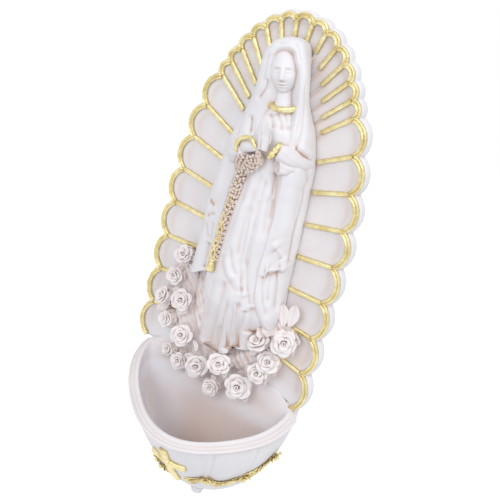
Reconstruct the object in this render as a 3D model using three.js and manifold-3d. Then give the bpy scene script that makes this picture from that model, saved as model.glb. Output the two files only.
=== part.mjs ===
// Wall-hung holy water stoup: scalloped plate with rays, a standing figure in relief, roses and a half bowl.
// Millimetres. x runs to the right, -y to the front and z up; the wall face is the plane y = 0.
import * as THREE from "three";
import { mergeVertices } from "three/addons/utils/BufferGeometryUtils.js";
import Module from "manifold-3d";

const wasm = await Module();
wasm.setup();

// Clearance between pieces that are seated on each other
const CLEARANCE = 0.3;

// Plate: a half oval on straight sides, edged with scallops
const OVAL_HALF_WIDTH = 40.5;
const OVAL_RISE = 91;
const OVAL_FULLNESS = 0.96;
const HEAD_ROOM = 7.6;
const PLATE_THICKNESS = 6;
const PLATE_EDGE_LAND = 2.4;
const PLATE_BACK_MARGIN = 1.2;
const PLATE_EDGE_MARGIN = 2.1;
const PLATE_FRONT_MARGIN = 1.5;
const SMALL_SCALLOPS = 13;
const SMALL_PITCH = 7.1;
const SMALL_RISE = 2.5;
const LARGE_SCALLOPS = 8;
const LARGE_GROWTH = 0.03;
const LARGE_RISE = 4.5;

// Keyhole hanger in the back of the plate
const KEYHOLE_Z = 42;
const KEYHOLE_RADIUS = 4.5;
const KEYHOLE_SLOT_WIDTH = 4.4;
const KEYHOLE_SLOT_LENGTH = 11;
const KEYHOLE_DEPTH = 4;

// Border: two ridges with a groove between them
const BORDER_WIDTH = 2.6;
const BORDER_HEIGHT = 1.6;
const BORDER_GROOVE = 0.6;

// Rays run from the cusps of the border to an inner oval round the figure
const RAY_WIDTH = 1.9;
const RAY_HEIGHT = 1.2;
const RAY_CUSP_GAP = 2.2;
const RAY_AIM_SHARE = 0.75;
const RAY_AIM_DROP = 6;
const RAY_UPPER_DROP = 7;
const RAY_UPPER_Z = 20;
const RAY_UPPER_FADE = 40;
const INNER_CENTRE_X = 1;
const INNER_HALF_WIDTH = 22.8;
const INNER_RISE = 84;

// Bowl: lobed half oval plan against the plate, with a rim that dips to the front
const BOWL_CENTRE_X = 2.9;
const BOWL_HALF_WIDTH = 42;
const BOWL_WIDTH_POWER = 0.6;
const BOWL_REACH = 42;
const BOWL_REACH_POWER = 0.62;
const BOWL_LOBE = 0.025;
const BOWL_LOBE_TURNS = 4.5;
const BOWL_RIM_Z = -80;
const BORDER_ABOVE_RIM = 0.8;
const BOWL_RIM_DIP = 0.4;
const BOWL_BOTTOM_Z = -144;
const BOWL_WALL = 4.5;
const BOWL_FLOOR = 15;
const BOWL_BACK_WALL = 2.6;
const BOWL_LOWEST_SHARE = 0.97;
const RIM_HEIGHT = 6;
const RIM_STEP = 1.6;
const RIM_PROFILE = [
  { down: 0, inset: 0.9 },
  { down: 0.22, inset: 0 },
  { down: 0.5, inset: 0.5 },
  { down: 0.68, inset: 0 },
  { down: 1, inset: RIM_STEP },
];
const RIB_ANGLES = [29, 58];
const RIB_HALF_ANGLE = 1.6;
const RIB_HEIGHT = 0.8;
const FINIAL_RADIUS = 3;
const FINIAL_DROP = 3.6;
const FINIAL_X = 6.4;

// Cross and swags on the bowl
const CROSS_HEIGHT = 32;
const CROSS_WIDTH = 19;
const CROSS_BAR = 4;
const CROSS_THICKNESS = 1.8;
const CROSS_TOP_SHARE = 0.25;
const CROSS_ANGLE = -2;
const CROSS_ARM_SHARE = 0.36;
const SWAG_RADIUS = 2.1;
const KNOT_RADIUS = 3;
const SWAG_SIDES = 7;
const SWAG_KEYS = {
  right: [
    { angle: 12, share: 0.64, sag: 0.03 },
    { angle: 30, share: 0.5, sag: 0.12 },
    { angle: 61, share: 0.46, sag: 0.02 },
    { angle: 86, share: 0.28, sag: 0 },
  ],
  left: [
    { angle: -14, share: 0.7, sag: 0.02 },
    { angle: -30, share: 0.62, sag: 0.08 },
    { angle: -61, share: 0.58, sag: 0.02 },
    { angle: -84, share: 0.44, sag: 0 },
  ],
};

// Figure, measured from the front of the plate
const MANTLE_BACK = 4;
const ROBE_FOLDS = 5;
const ROBE_FOLD_DEPTH = 1.3;
const ROBE_FOLD_TOP_Z = 26;
const ROBE_FOLD_FADE = 60;
const ROBE_ROUNDNESS = 0.75;
const MANTLE_LIP = 1.2;
const MANTLE_MIDDLE_SHARE = 0.62;
const HEAD_CENTRE = new THREE.Vector3(2.6, -17.5, 61.5);
const HEAD_RADII = new THREE.Vector3(5.9, 7, 8.8);
const HEAD_TILT = 11;
const HEAD_TURN = 15;
const HOOD_MARGIN = 1.2;
const FACE_OPENING_HALF_WIDTH = 5.2;
const FACE_OPENING_DROP = 3.4;
const NECK_RADIUS = 3.6;
const NECK_LENGTH = 9;
const CHIN_TAPER = 0.24;
const NOSE_RADIUS = 0.9;
const NOSE_LENGTH = 3.6;
const NOSE_LEAN = 11;
const HAND_LENGTH = 13;
const HAND_HALF_WIDTH = 2.6;
const HAND_DEPTH = 5.2;
const HAND_BEVEL = 0.9;
const HAND_LEAN = 16;
const WRIST_CENTRE = new THREE.Vector3(7.2, -28, 32);
const SLEEVE_ELBOW_RADIUS = 5.4;
const SLEEVE_WRIST_RADIUS = 3.4;
const CUFF_LENGTH = 2.4;
const CUFF_FLARE = 0.7;
const COLLAR_RADIUS = 0.9;
const COLLAR_SPREAD = 0.7;
const COLLAR_LIFT = 1.4;
const COLLAR_RISE = 3.8;
const BEAD_RADIUS = 1;
const BEAD_COUNT = 18;
const STRAND_RADIUS = 0.55;
const STRAND_BOW = 1.2;
const TASSEL_LENGTH = 7;
const TASSEL_RADIUS = 1.7;
const BEAD_SIDES = 6;
const BEAD_PROFILE = [
  [0, STRAND_RADIUS],
  [0.25, BEAD_RADIUS],
  [0.75, BEAD_RADIUS],
];
const TASSEL_PROFILE = [
  [0, STRAND_RADIUS],
  [0.1, 0.6 * TASSEL_RADIUS],
  [0.25, 0.5 * TASSEL_RADIUS],
  [1, TASSEL_RADIUS],
];

// Roses: where each stands on the plate (x, z), its radius and how far its face stands off the plate
const ROSE_STAND_OFF = 4.4;
const ROSE_HEIGHT_SHARE = 0.95;
const ROSE_PETALS = 5;
const ROSE_SIDES = 10;
const PETAL_LOBE = 0.07;
const PETAL_TURN = 109;
const ROSES = [
  { name: "rose_left_1", x: -25.7, z: -29, radius: 4 },
  { name: "rose_left_2", x: -28.4, z: -40.5, radius: 4 },
  { name: "rose_left_3", x: -20.6, z: -49.2, radius: 5, standOff: 6 },
  { name: "rose_left_4", x: -32.3, z: -52.3, radius: 4 },
  { name: "rose_left_5", x: -27.7, z: -62, radius: 3.8 },
  { name: "rose_left_6", x: -16.3, z: -65.9, radius: 5, standOff: 6 },
  { name: "rose_left_7", x: -23.4, z: -74.8, radius: 3.4 },
  { name: "rose_left_8", x: -15.6, z: -77, radius: 3.8, standOff: 5 },
  { name: "rose_centre_1", x: -4.4, z: -75.4, radius: 5.3, standOff: 7 },
  { name: "rose_centre_2", x: 7.4, z: -68.6, radius: 5, standOff: 10 },
  { name: "rose_centre_3", x: 4.6, z: -82.6, radius: 4.1, standOff: 7 },
  { name: "rose_centre_4", x: 18, z: -74.9, radius: 5.8, standOff: 7 },
  { name: "rose_right_1", x: 21, z: -51.2, radius: 5.3, standOff: 6, leaf: 100 },
  { name: "rose_right_2", x: 32.7, z: -46.3, radius: 5.7, standOff: 5, leaf: 112 },
  { name: "rose_right_3", x: 28, z: -58.4, radius: 4.9, standOff: 6 },
  { name: "rose_right_4", x: 25.1, z: -66.4, radius: 4.5, standOff: 7 },
];
const LEAF_LENGTH = 11;
const LEAF_WIDTH = 5;
const LEAF_THICKNESS = 1.6;

// Mantle and veil: at each height, where its two sides meet the plate and where their front edges are
const MANTLE_KEYS = [
  { z: -64, footLeft: -9, edgeLeft: -8.5, frontLeft: -10.2, edgeRight: 21.5, frontRight: -10.2, footRight: 22 },
  { z: -47, footLeft: -9, edgeLeft: -8.5, frontLeft: -10.2, edgeRight: 21.5, frontRight: -13, footRight: 24.4 },
  { z: -42, footLeft: -9, edgeLeft: -8.5, frontLeft: -10.2, edgeRight: 20.5, frontRight: -17, footRight: 24.9 },
  { z: -38, footLeft: -12, edgeLeft: -9, frontLeft: -12, edgeRight: 18.4, frontRight: -19.6, footRight: 25 },
  { z: -35, footLeft: -21.8, edgeLeft: -13, frontLeft: -17, edgeRight: 17.4, frontRight: -20.6, footRight: 24.9 },
  { z: -31, footLeft: -22.4, edgeLeft: -11, frontLeft: -19.3, edgeRight: 16.9, frontRight: -21.2, footRight: 24.6 },
  { z: -22, footLeft: -22.1, edgeLeft: -10.1, frontLeft: -19.8, edgeRight: 15.8, frontRight: -21.9, footRight: 24 },
  { z: -10, footLeft: -21.6, edgeLeft: -9.3, frontLeft: -20, edgeRight: 15.4, frontRight: -21.2, footRight: 23.6 },
  { z: -3, footLeft: -22.4, edgeLeft: -9.1, frontLeft: -20, edgeRight: 15.3, frontRight: -20.6, footRight: 23.4 },
  { z: 8, footLeft: -21.5, edgeLeft: -8.4, frontLeft: -20, edgeRight: 15, frontRight: -19.7, footRight: 22.8 },
  { z: 18, footLeft: -20.2, edgeLeft: -7.5, frontLeft: -20.2, edgeRight: 14.4, frontRight: -19.5, footRight: 22.2 },
  { z: 27, footLeft: -18.6, edgeLeft: -5.5, frontLeft: -21.4, edgeRight: 13.6, frontRight: -20.2, footRight: 21.4 },
  { z: 35, footLeft: -16.4, edgeLeft: -2.4, frontLeft: -21.5, edgeRight: 13, frontRight: -21.4, footRight: 19.4 },
  { z: 43, footLeft: -13.5, edgeLeft: -1.4, frontLeft: -21.3, edgeRight: 12.4, frontRight: -20.8, footRight: 15.8 },
  { z: 49, footLeft: -11.8, edgeLeft: -1, frontLeft: -21.6, edgeRight: 12.2, frontRight: -20.6, footRight: 13.2 },
  { z: 55, footLeft: -10.8, edgeLeft: -1.1, frontLeft: -22, edgeRight: 12, frontRight: -21, footRight: 12 },
  { z: 61, footLeft: -10.5, edgeLeft: -2.2, frontLeft: -22, edgeRight: 11, frontRight: -21.3, footRight: 11 },
  { z: 66, footLeft: -9.6, edgeLeft: -2.8, frontLeft: -22, edgeRight: 9, frontRight: -22, footRight: 9.2 },
  { z: 69, footLeft: -8.2, edgeLeft: -1.2, frontLeft: -21.5, edgeRight: 6, frontRight: -21.5, footRight: 7 },
  { z: 71.5, footLeft: -5.6, edgeLeft: -0.8, frontLeft: -18.5, edgeRight: 4, frontRight: -18.5, footRight: 5.6 },
  { z: 73.4, footLeft: -3.2, edgeLeft: -0.8, frontLeft: -12, edgeRight: 2, frontRight: -12, footRight: 3 },
];

const PLATE_FRONT = -PLATE_THICKNESS;
const SEAT_Y = PLATE_FRONT - CLEARANCE;
// The plate's top clears the veil by the head room
const SPRING_Z = MANTLE_KEYS[MANTLE_KEYS.length - 1].z + HEAD_ROOM - OVAL_RISE;
const BOWL_DEPTH = BOWL_RIM_Z - BOWL_BOTTOM_Z;
const BORDER_END_Z = BOWL_RIM_Z + BORDER_ABOVE_RIM;
const DEGREE = Math.PI / 180;

// A closed solid from a three.js geometry
function solidOf(geometry) {
  const bare = geometry.clone();
  for (const name of Object.keys(bare.attributes)) {
    if (name !== "position") bare.deleteAttribute(name);
  }
  const merged = mergeVertices(bare, 1e-4);
  return new wasm.Manifold(
    new wasm.Mesh({
      numProp: 3,
      vertProperties: new Float32Array(merged.attributes.position.array),
      triVerts: new Uint32Array(merged.index.array),
    }),
  );
}

function geometryOf(solid) {
  const mesh = solid.getMesh();
  const geometry = new THREE.BufferGeometry();
  geometry.setAttribute("position", new THREE.BufferAttribute(new Float32Array(mesh.vertProperties), 3));
  geometry.setIndex(new THREE.BufferAttribute(new Uint32Array(mesh.triVerts), 1));
  geometry.computeVertexNormals();
  return geometry;
}

function joined(solids) {
  return solids.reduce((whole, solid) => whole.add(solid));
}

function cutBy(solid, cutters) {
  return cutters.reduce((left, cutter) => left.subtract(cutter), solid);
}

// The largest of the bodies that a cut has left
function largestBody(solid) {
  const bodies = solid.decompose();
  return bodies.reduce((best, body) => (body.volume() > best.volume() ? body : best));
}

function capTriangles(ring) {
  const normal = new THREE.Vector3();
  ring.forEach((point, i) => {
    const next = ring[(i + 1) % ring.length];
    normal.x += (point.y - next.y) * (point.z + next.z);
    normal.y += (point.z - next.z) * (point.x + next.x);
    normal.z += (point.x - next.x) * (point.y + next.y);
  });
  normal.normalize();
  const helper = Math.abs(normal.x) < 0.8 ? new THREE.Vector3(1, 0, 0) : new THREE.Vector3(0, 1, 0);
  const across = helper.cross(normal).normalize();
  const along = new THREE.Vector3().crossVectors(normal, across);
  const flat = ring.map((point) => new THREE.Vector2(point.dot(across), point.dot(along)));
  return THREE.ShapeUtils.triangulateShape(flat, []);
}

// A solid through closed rings that all have the same number of points
function loft(rings) {
  const count = rings[0].length;
  const points = rings.flat();
  const triangles = [];
  for (let r = 0; r + 1 < rings.length; r++) {
    for (let i = 0; i < count; i++) {
      const a = r * count + i;
      const b = r * count + ((i + 1) % count);
      triangles.push([a, b, b + count], [a, b + count, a + count]);
    }
  }
  const last = (rings.length - 1) * count;
  for (const [a, b, c] of capTriangles(rings[0])) triangles.push([a, c, b]);
  for (const [a, b, c] of capTriangles(rings[rings.length - 1])) triangles.push([last + a, last + b, last + c]);
  let volume = 0;
  for (const [a, b, c] of triangles) {
    volume += points[a].dot(new THREE.Vector3().crossVectors(points[b], points[c]));
  }
  const index = triangles.flatMap(([a, b, c]) => (volume < 0 ? [a, c, b] : [a, b, c]));
  const geometry = new THREE.BufferGeometry().setFromPoints(points);
  geometry.setIndex(index);
  return solidOf(geometry);
}

function smoothStep(value) {
  const t = THREE.MathUtils.clamp(value, 0, 1);
  return t * t * (3 - 2 * t);
}

// Values of the key rows between the heights that they are given for
function between(keys, z) {
  const upper = keys.findIndex((key) => key.z >= z);
  if (upper <= 0) return upper === 0 ? keys[0] : keys[keys.length - 1];
  const low = keys[upper - 1];
  const high = keys[upper];
  const t = (z - low.z) / (high.z - low.z);
  const mixed = {};
  for (const name of Object.keys(low)) mixed[name] = THREE.MathUtils.lerp(low[name], high[name], t);
  return mixed;
}

// Outline of the plate's cusps, by its length from the top centre
const OUTLINE_STEPS = 400;
const outlineTable = [{ length: 0, x: 0, z: SPRING_Z + OVAL_RISE }];
for (let i = 1; i <= OUTLINE_STEPS; i++) {
  const turn = (i / OUTLINE_STEPS) * (Math.PI / 2);
  const x = OVAL_HALF_WIDTH * Math.pow(Math.sin(turn), OVAL_FULLNESS);
  const z = SPRING_Z + OVAL_RISE * Math.pow(Math.max(Math.cos(turn), 0), OVAL_FULLNESS);
  const before = outlineTable[i - 1];
  outlineTable.push({ length: before.length + Math.hypot(x - before.x, z - before.z), x, z });
}
const OVAL_LENGTH = outlineTable[OUTLINE_STEPS].length;
const OUTLINE_LENGTH = OVAL_LENGTH + SPRING_Z - BORDER_END_Z;

function outlinePoint(length) {
  if (length >= OVAL_LENGTH) return new THREE.Vector2(OVAL_HALF_WIDTH, SPRING_Z - (length - OVAL_LENGTH));
  const above = outlineTable.findIndex((row) => row.length >= length);
  const high = outlineTable[Math.max(above, 1)];
  const low = outlineTable[Math.max(above, 1) - 1];
  const t = (length - low.length) / (high.length - low.length);
  return new THREE.Vector2(THREE.MathUtils.lerp(low.x, high.x, t), THREE.MathUtils.lerp(low.z, high.z, t));
}

// Cusps on the right side, from the top down to the border's end
function rightCusps() {
  const cusps = [];
  const smallPerSide = (SMALL_SCALLOPS + 1) / 2;
  for (let i = 0; i < smallPerSide; i++) cusps.push(outlinePoint((i + 0.5) * SMALL_PITCH));
  let length = (smallPerSide - 0.5) * SMALL_PITCH;
  const shares = Array.from({ length: LARGE_SCALLOPS }, (_, i) => 1 + LARGE_GROWTH * i);
  const unit = (OUTLINE_LENGTH - length) / shares.reduce((sum, share) => sum + share);
  for (const share of shares) {
    length += share * unit;
    cusps.push(outlinePoint(length));
  }
  return cusps;
}

const CUSPS_RIGHT = rightCusps();
const CUSPS_LEFT = CUSPS_RIGHT.map((cusp) => new THREE.Vector2(-cusp.x, cusp.y));
const RAYS_PER_SIDE = CUSPS_RIGHT.length - 1;

// Scallops in order from the right end over the top to the left end, each as an arc seen from the front
function scallopArcs() {
  const cusps = [...CUSPS_RIGHT.toReversed(), ...CUSPS_LEFT];
  return cusps.slice(1).map((end, i) => {
    const start = cusps[i];
    const small = i >= LARGE_SCALLOPS && i < LARGE_SCALLOPS + SMALL_SCALLOPS;
    const rise = small ? SMALL_RISE : LARGE_RISE;
    const half = start.distanceTo(end) / 2;
    const radius = (half * half + rise * rise) / (2 * rise);
    const middle = start.clone().add(end).multiplyScalar(0.5);
    const along = end.clone().sub(start).normalize();
    const outward = new THREE.Vector2(along.y, -along.x);
    const centre = middle.clone().addScaledVector(outward, rise - radius);
    return { start, end, centre, radius, small };
  });
}

const SCALLOPS = scallopArcs();
const SMALL_SEGMENTS = 4;
const LARGE_SEGMENTS = 5;

function arcAngles(scallop, start, end) {
  const from = Math.atan2(start.y - scallop.centre.y, start.x - scallop.centre.x);
  let to = Math.atan2(end.y - scallop.centre.y, end.x - scallop.centre.x);
  if (to < from) to += 2 * Math.PI;
  return [from, to];
}

function pointOnArc(scallop, margin, angle) {
  const reach = scallop.radius + margin;
  return new THREE.Vector2(
    scallop.centre.x + reach * Math.cos(angle),
    scallop.centre.y + reach * Math.sin(angle),
  );
}

// Where two neighbouring scallops, both widened by a margin, meet outside their cusp
function meetingPoint(one, other, margin) {
  const gap = one.centre.distanceTo(other.centre);
  const reachOne = one.radius + margin;
  const reachOther = other.radius + margin;
  const along = (gap * gap + reachOne * reachOne - reachOther * reachOther) / (2 * gap);
  const off = Math.sqrt(Math.max(reachOne * reachOne - along * along, 0));
  const direction = other.centre.clone().sub(one.centre).normalize();
  const outward = new THREE.Vector2(direction.y, -direction.x);
  return one.centre.clone().addScaledVector(direction, along).addScaledVector(outward, off);
}

function bowlHalfWidthAt(share) {
  return BOWL_HALF_WIDTH * Math.pow(1 - Math.max(share, 0) ** 2, BOWL_WIDTH_POWER);
}

// Outline of the plate, widened by a margin outside the cusps, with the bowl's back below the border
function plateOutline(margin, y) {
  const flat = [];
  SCALLOPS.forEach((scallop, i) => {
    const before = SCALLOPS[i - 1];
    const after = SCALLOPS[i + 1];
    const start = before ? meetingPoint(before, scallop, margin) : new THREE.Vector2(
      scallop.start.x + margin,
      scallop.start.y,
    );
    const end = after ? meetingPoint(scallop, after, margin) : new THREE.Vector2(
      scallop.end.x - margin,
      scallop.end.y,
    );
    const [from, to] = arcAngles(scallop, start, end);
    const segments = scallop.small ? SMALL_SEGMENTS : LARGE_SEGMENTS;
    if (!before) flat.push(start);
    for (let k = before ? 0 : 1; k < segments; k++) {
      flat.push(pointOnArc(scallop, margin, THREE.MathUtils.lerp(from, to, k / segments)));
    }
    if (!after) flat.push(end);
  });
  const steps = 14;
  for (let k = 0; k <= steps; k++) {
    const turn = (k / steps) * Math.PI;
    const share = Math.sin(turn);
    const side = k <= steps / 2 ? -1 : 1;
    const inset = PLATE_EDGE_MARGIN - margin;
    const halfWidth = Math.max(bowlHalfWidthAt(Math.min(share, BOWL_LOWEST_SHARE)) - RIM_STEP - inset, 2);
    const x = BOWL_CENTRE_X + side * halfWidth * (k === steps / 2 ? 0 : 1);
    flat.push(new THREE.Vector2(x, BOWL_RIM_Z - BOWL_DEPTH * share + inset));
  }
  return flat.map((point) => new THREE.Vector3(point.x, y, point.y));
}

function keyhole() {
  const hole = new THREE.CylinderGeometry(KEYHOLE_RADIUS, KEYHOLE_RADIUS, 2 * KEYHOLE_DEPTH, 24);
  hole.translate(0, 0, KEYHOLE_Z);
  const slot = new THREE.BoxGeometry(KEYHOLE_SLOT_WIDTH, 2 * KEYHOLE_DEPTH, KEYHOLE_SLOT_LENGTH);
  slot.translate(0, 0, KEYHOLE_Z + KEYHOLE_SLOT_LENGTH / 2);
  const top = new THREE.CylinderGeometry(KEYHOLE_SLOT_WIDTH / 2, KEYHOLE_SLOT_WIDTH / 2, 2 * KEYHOLE_DEPTH, 16);
  top.translate(0, 0, KEYHOLE_Z + KEYHOLE_SLOT_LENGTH);
  return joined([solidOf(hole), solidOf(slot), solidOf(top)]);
}

function backPlate() {
  const body = loft([
    plateOutline(PLATE_BACK_MARGIN, 0),
    plateOutline(PLATE_EDGE_MARGIN, -PLATE_EDGE_LAND),
    plateOutline(PLATE_FRONT_MARGIN, PLATE_FRONT),
  ]);
  return body.subtract(keyhole());
}

// One scallop of the border: a double ridge swept along its arc
function borderArc(scallop) {
  const half = BORDER_WIDTH / 2;
  const profile = [
    [-half, 0],
    [-half * 0.65, BORDER_HEIGHT],
    [0, BORDER_HEIGHT - BORDER_GROOVE],
    [half * 0.65, BORDER_HEIGHT],
    [half, 0],
  ];
  const [from, to] = arcAngles(scallop, scallop.start, scallop.end);
  const segments = scallop.small ? SMALL_SEGMENTS : LARGE_SEGMENTS;
  const rings = [];
  for (let k = 0; k <= segments; k++) {
    const angle = THREE.MathUtils.lerp(from, to, k / segments);
    rings.push(
      profile.map(([margin, height]) => {
        const point = pointOnArc(scallop, margin, angle);
        return new THREE.Vector3(point.x, SEAT_Y - height, point.y);
      }),
    );
  }
  return loft(rings);
}

// Distance from a cusp, along its ray, to the oval round the figure
function rayLength(cusp, direction) {
  let length = 0;
  const step = 0.1;
  for (;;) {
    const x = cusp.x + direction.x * length;
    const z = cusp.y + direction.y * length;
    const rise = Math.max(z - SPRING_Z, 0) / INNER_RISE;
    const across = (x - INNER_CENTRE_X) / INNER_HALF_WIDTH;
    if (across * across + rise * rise <= 1 || length > OVAL_HALF_WIDTH) return length;
    length += step;
  }
}

function ray(cusp) {
  const upperDrop = RAY_UPPER_DROP * smoothStep((cusp.y - RAY_UPPER_Z) / RAY_UPPER_FADE);
  const aim = new THREE.Vector2(0, cusp.y * RAY_AIM_SHARE - RAY_AIM_DROP - upperDrop);
  const direction = aim.sub(cusp).normalize();
  const length = Math.max(rayLength(cusp, direction), RAY_CUSP_GAP + 3 * RAY_WIDTH);
  const half = RAY_WIDTH / 2;
  const shape = new THREE.Shape();
  shape.moveTo(-half, 0);
  shape.lineTo(half, 0);
  shape.lineTo(half * 0.75, RAY_HEIGHT);
  shape.lineTo(-half * 0.75, RAY_HEIGHT);
  shape.closePath();
  const bar = new THREE.ExtrudeGeometry(shape, { depth: length - RAY_CUSP_GAP, bevelEnabled: false, steps: 1 });
  const along = new THREE.Vector3(direction.x, 0, direction.y);
  const up = new THREE.Vector3(0, -1, 0);
  const across = new THREE.Vector3().crossVectors(up, along);
  const start = new THREE.Vector3(cusp.x, SEAT_Y, cusp.y).addScaledVector(along, RAY_CUSP_GAP);
  bar.applyMatrix4(new THREE.Matrix4().makeBasis(across, up, along).setPosition(start));
  return solidOf(bar);
}

// Half-oval plan of the bowl at one level: corners at the ribs, straight back against the plate
const PANEL_STEP_ANGLE = 10;

// Share by which the bowl swells or draws in at an angle round it
function lobeAt(angle) {
  return 1 + BOWL_LOBE * Math.cos(BOWL_LOBE_TURNS * angle * DEGREE);
}

function bowlAngles() {
  const marks = [-90, ...RIB_ANGLES.map((angle) => -angle).toReversed(), ...RIB_ANGLES, 90];
  const angles = [];
  for (let i = 0; i + 1 < marks.length; i++) {
    const from = marks[i] + (i > 0 ? RIB_HALF_ANGLE : 0);
    const to = marks[i + 1] - (i + 2 < marks.length ? RIB_HALF_ANGLE : 0);
    const panelSteps = Math.round((to - from) / PANEL_STEP_ANGLE);
    for (let k = 0; k <= panelSteps; k++) {
      angles.push({ angle: THREE.MathUtils.lerp(from, to, k / panelSteps), rib: 0 });
    }
    if (i + 2 < marks.length) angles.push({ angle: marks[i + 1], rib: 1 });
  }
  return angles;
}

function bowlRing(halfWidth, reach, levelZ, dip, backY, rib) {
  const ring = bowlAngles().map(({ angle, rib: onRib }) => {
    const turn = angle * DEGREE;
    const out = lobeAt(angle) * (1 + (onRib * rib) / BOWL_REACH);
    const y = backY - (reach + backY - SEAT_Y) * Math.cos(turn) * out;
    const x = BOWL_CENTRE_X + halfWidth * Math.sin(turn) * out;
    return new THREE.Vector3(x, y, levelZ + dip * (y - SEAT_Y));
  });
  return ring;
}

// Share of the bowl's reach that is left at a share of its depth
function bowlReachAt(share) {
  return BOWL_REACH * Math.pow(1 - Math.max(share, 0), BOWL_REACH_POWER);
}

function bowlLevel(share, inset, backY, rib) {
  const dip = BOWL_RIM_DIP * (1 - share);
  return bowlRing(
    bowlHalfWidthAt(share) - inset,
    bowlReachAt(share) - inset,
    BOWL_RIM_Z - BOWL_DEPTH * share,
    dip,
    backY,
    rib,
  );
}

function bowlOuter(grow) {
  const back = SEAT_Y + grow;
  const rim = RIM_HEIGHT / BOWL_DEPTH;
  const rings = RIM_PROFILE.map(({ down, inset }, i) =>
    bowlLevel(rim * down - (i === 0 ? grow / BOWL_DEPTH : 0), inset - grow, back, 0),
  );
  const bodySteps = 7;
  for (let k = 0; k <= bodySteps; k++) {
    const share = THREE.MathUtils.lerp(rim * 1.2, BOWL_LOWEST_SHARE, k / bodySteps);
    rings.push(bowlLevel(share, RIM_STEP - grow, back, RIB_HEIGHT));
  }
  return loft(rings);
}

function bowlHollow() {
  const back = SEAT_Y - BOWL_BACK_WALL;
  const steps = 7;
  const deepest = 1 - BOWL_FLOOR / BOWL_DEPTH;
  const above = -RIM_HEIGHT / BOWL_DEPTH;
  const rings = [bowlLevel(above, BOWL_WALL, back, 0)];
  for (let k = 0; k <= steps; k++) {
    const share = deepest * Math.pow(k / steps, 0.85);
    rings.push(bowlLevel(share, BOWL_WALL + RIM_STEP * smoothStep(share * 8), back, 0));
  }
  return loft(rings);
}

function finial() {
  const drop = new THREE.SphereGeometry(FINIAL_RADIUS, 12, 8);
  drop.scale(1, 1, FINIAL_DROP / FINIAL_RADIUS);
  const low = bowlLevel(BOWL_LOWEST_SHARE, RIM_STEP, SEAT_Y, 0);
  const front = low.reduce((best, point) => (point.y < best.y ? point : best));
  drop.translate(FINIAL_X, (front.y + SEAT_Y) / 2 - FINIAL_RADIUS * 0.2, front.z + FINIAL_DROP * 0.1);
  const behind = new THREE.BoxGeometry(4 * FINIAL_RADIUS, 4 * FINIAL_RADIUS, 4 * FINIAL_DROP);
  behind.translate(FINIAL_X, SEAT_Y + 2 * FINIAL_RADIUS, front.z);
  return solidOf(drop).subtract(solidOf(behind));
}

function bowl() {
  return bowlOuter(0).add(finial()).subtract(bowlHollow());
}

// A point on the outside of the bowl, lifted off it
function onBowl(angle, share, lift) {
  const turn = angle * DEGREE;
  const halfWidth = lobeAt(angle) * (bowlHalfWidthAt(share) - RIM_STEP) + lift;
  const reach = lobeAt(angle) * (bowlReachAt(share) - RIM_STEP) + lift;
  const y = SEAT_Y - reach * Math.cos(turn);
  const z = BOWL_RIM_Z - BOWL_DEPTH * share + BOWL_RIM_DIP * (1 - share) * (y - SEAT_Y);
  return new THREE.Vector3(BOWL_CENTRE_X + halfWidth * Math.sin(turn), y, z);
}

// Length of the bowl's front, from the rim down to a share of its depth
function shareAtFrontLength(length) {
  let walked = 0;
  let share = CROSS_TOP_SHARE;
  const step = 0.005;
  while (walked < length && share < BOWL_LOWEST_SHARE) {
    walked += onBowl(CROSS_ANGLE, share, 0).distanceTo(onBowl(CROSS_ANGLE, share + step, 0));
    share += step;
  }
  return share;
}

// A bar that lies on the bowl along a path of (angle, share) points
function barOnBowl(path, half) {
  const rings = path.map(({ angle, share, across }) => {
    const ring = [];
    for (const [side, lift] of [
      [-1, CLEARANCE],
      [1, CLEARANCE],
      [0.7, CLEARANCE + CROSS_THICKNESS],
      [-0.7, CLEARANCE + CROSS_THICKNESS],
    ]) {
      const point = onBowl(angle, share, lift);
      point.addScaledVector(across, side * half);
      ring.push(point);
    }
    return ring;
  });
  return loft(rings);
}

function cross() {
  const upright = [];
  const steps = 10;
  for (let k = 0; k <= steps; k++) {
    upright.push({
      angle: CROSS_ANGLE,
      share: shareAtFrontLength((CROSS_HEIGHT * k) / steps),
      across: new THREE.Vector3(1, 0, 0),
    });
  }
  const armShare = shareAtFrontLength(CROSS_HEIGHT * CROSS_ARM_SHARE);
  const down = onBowl(CROSS_ANGLE, armShare + 0.02, 0).sub(onBowl(CROSS_ANGLE, armShare - 0.02, 0)).normalize();
  const halfAngle = Math.asin(CROSS_WIDTH / 2 / bowlHalfWidthAt(armShare)) / DEGREE;
  const arms = [];
  for (let k = 0; k <= 8; k++) {
    const angle = CROSS_ANGLE + THREE.MathUtils.lerp(-halfAngle, halfAngle, k / 8);
    arms.push({ angle, share: armShare, across: down });
  }
  return barOnBowl(upright, CROSS_BAR / 2).add(barOnBowl(arms, CROSS_BAR / 2)).subtract(bowlOuter(CLEARANCE));
}

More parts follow.
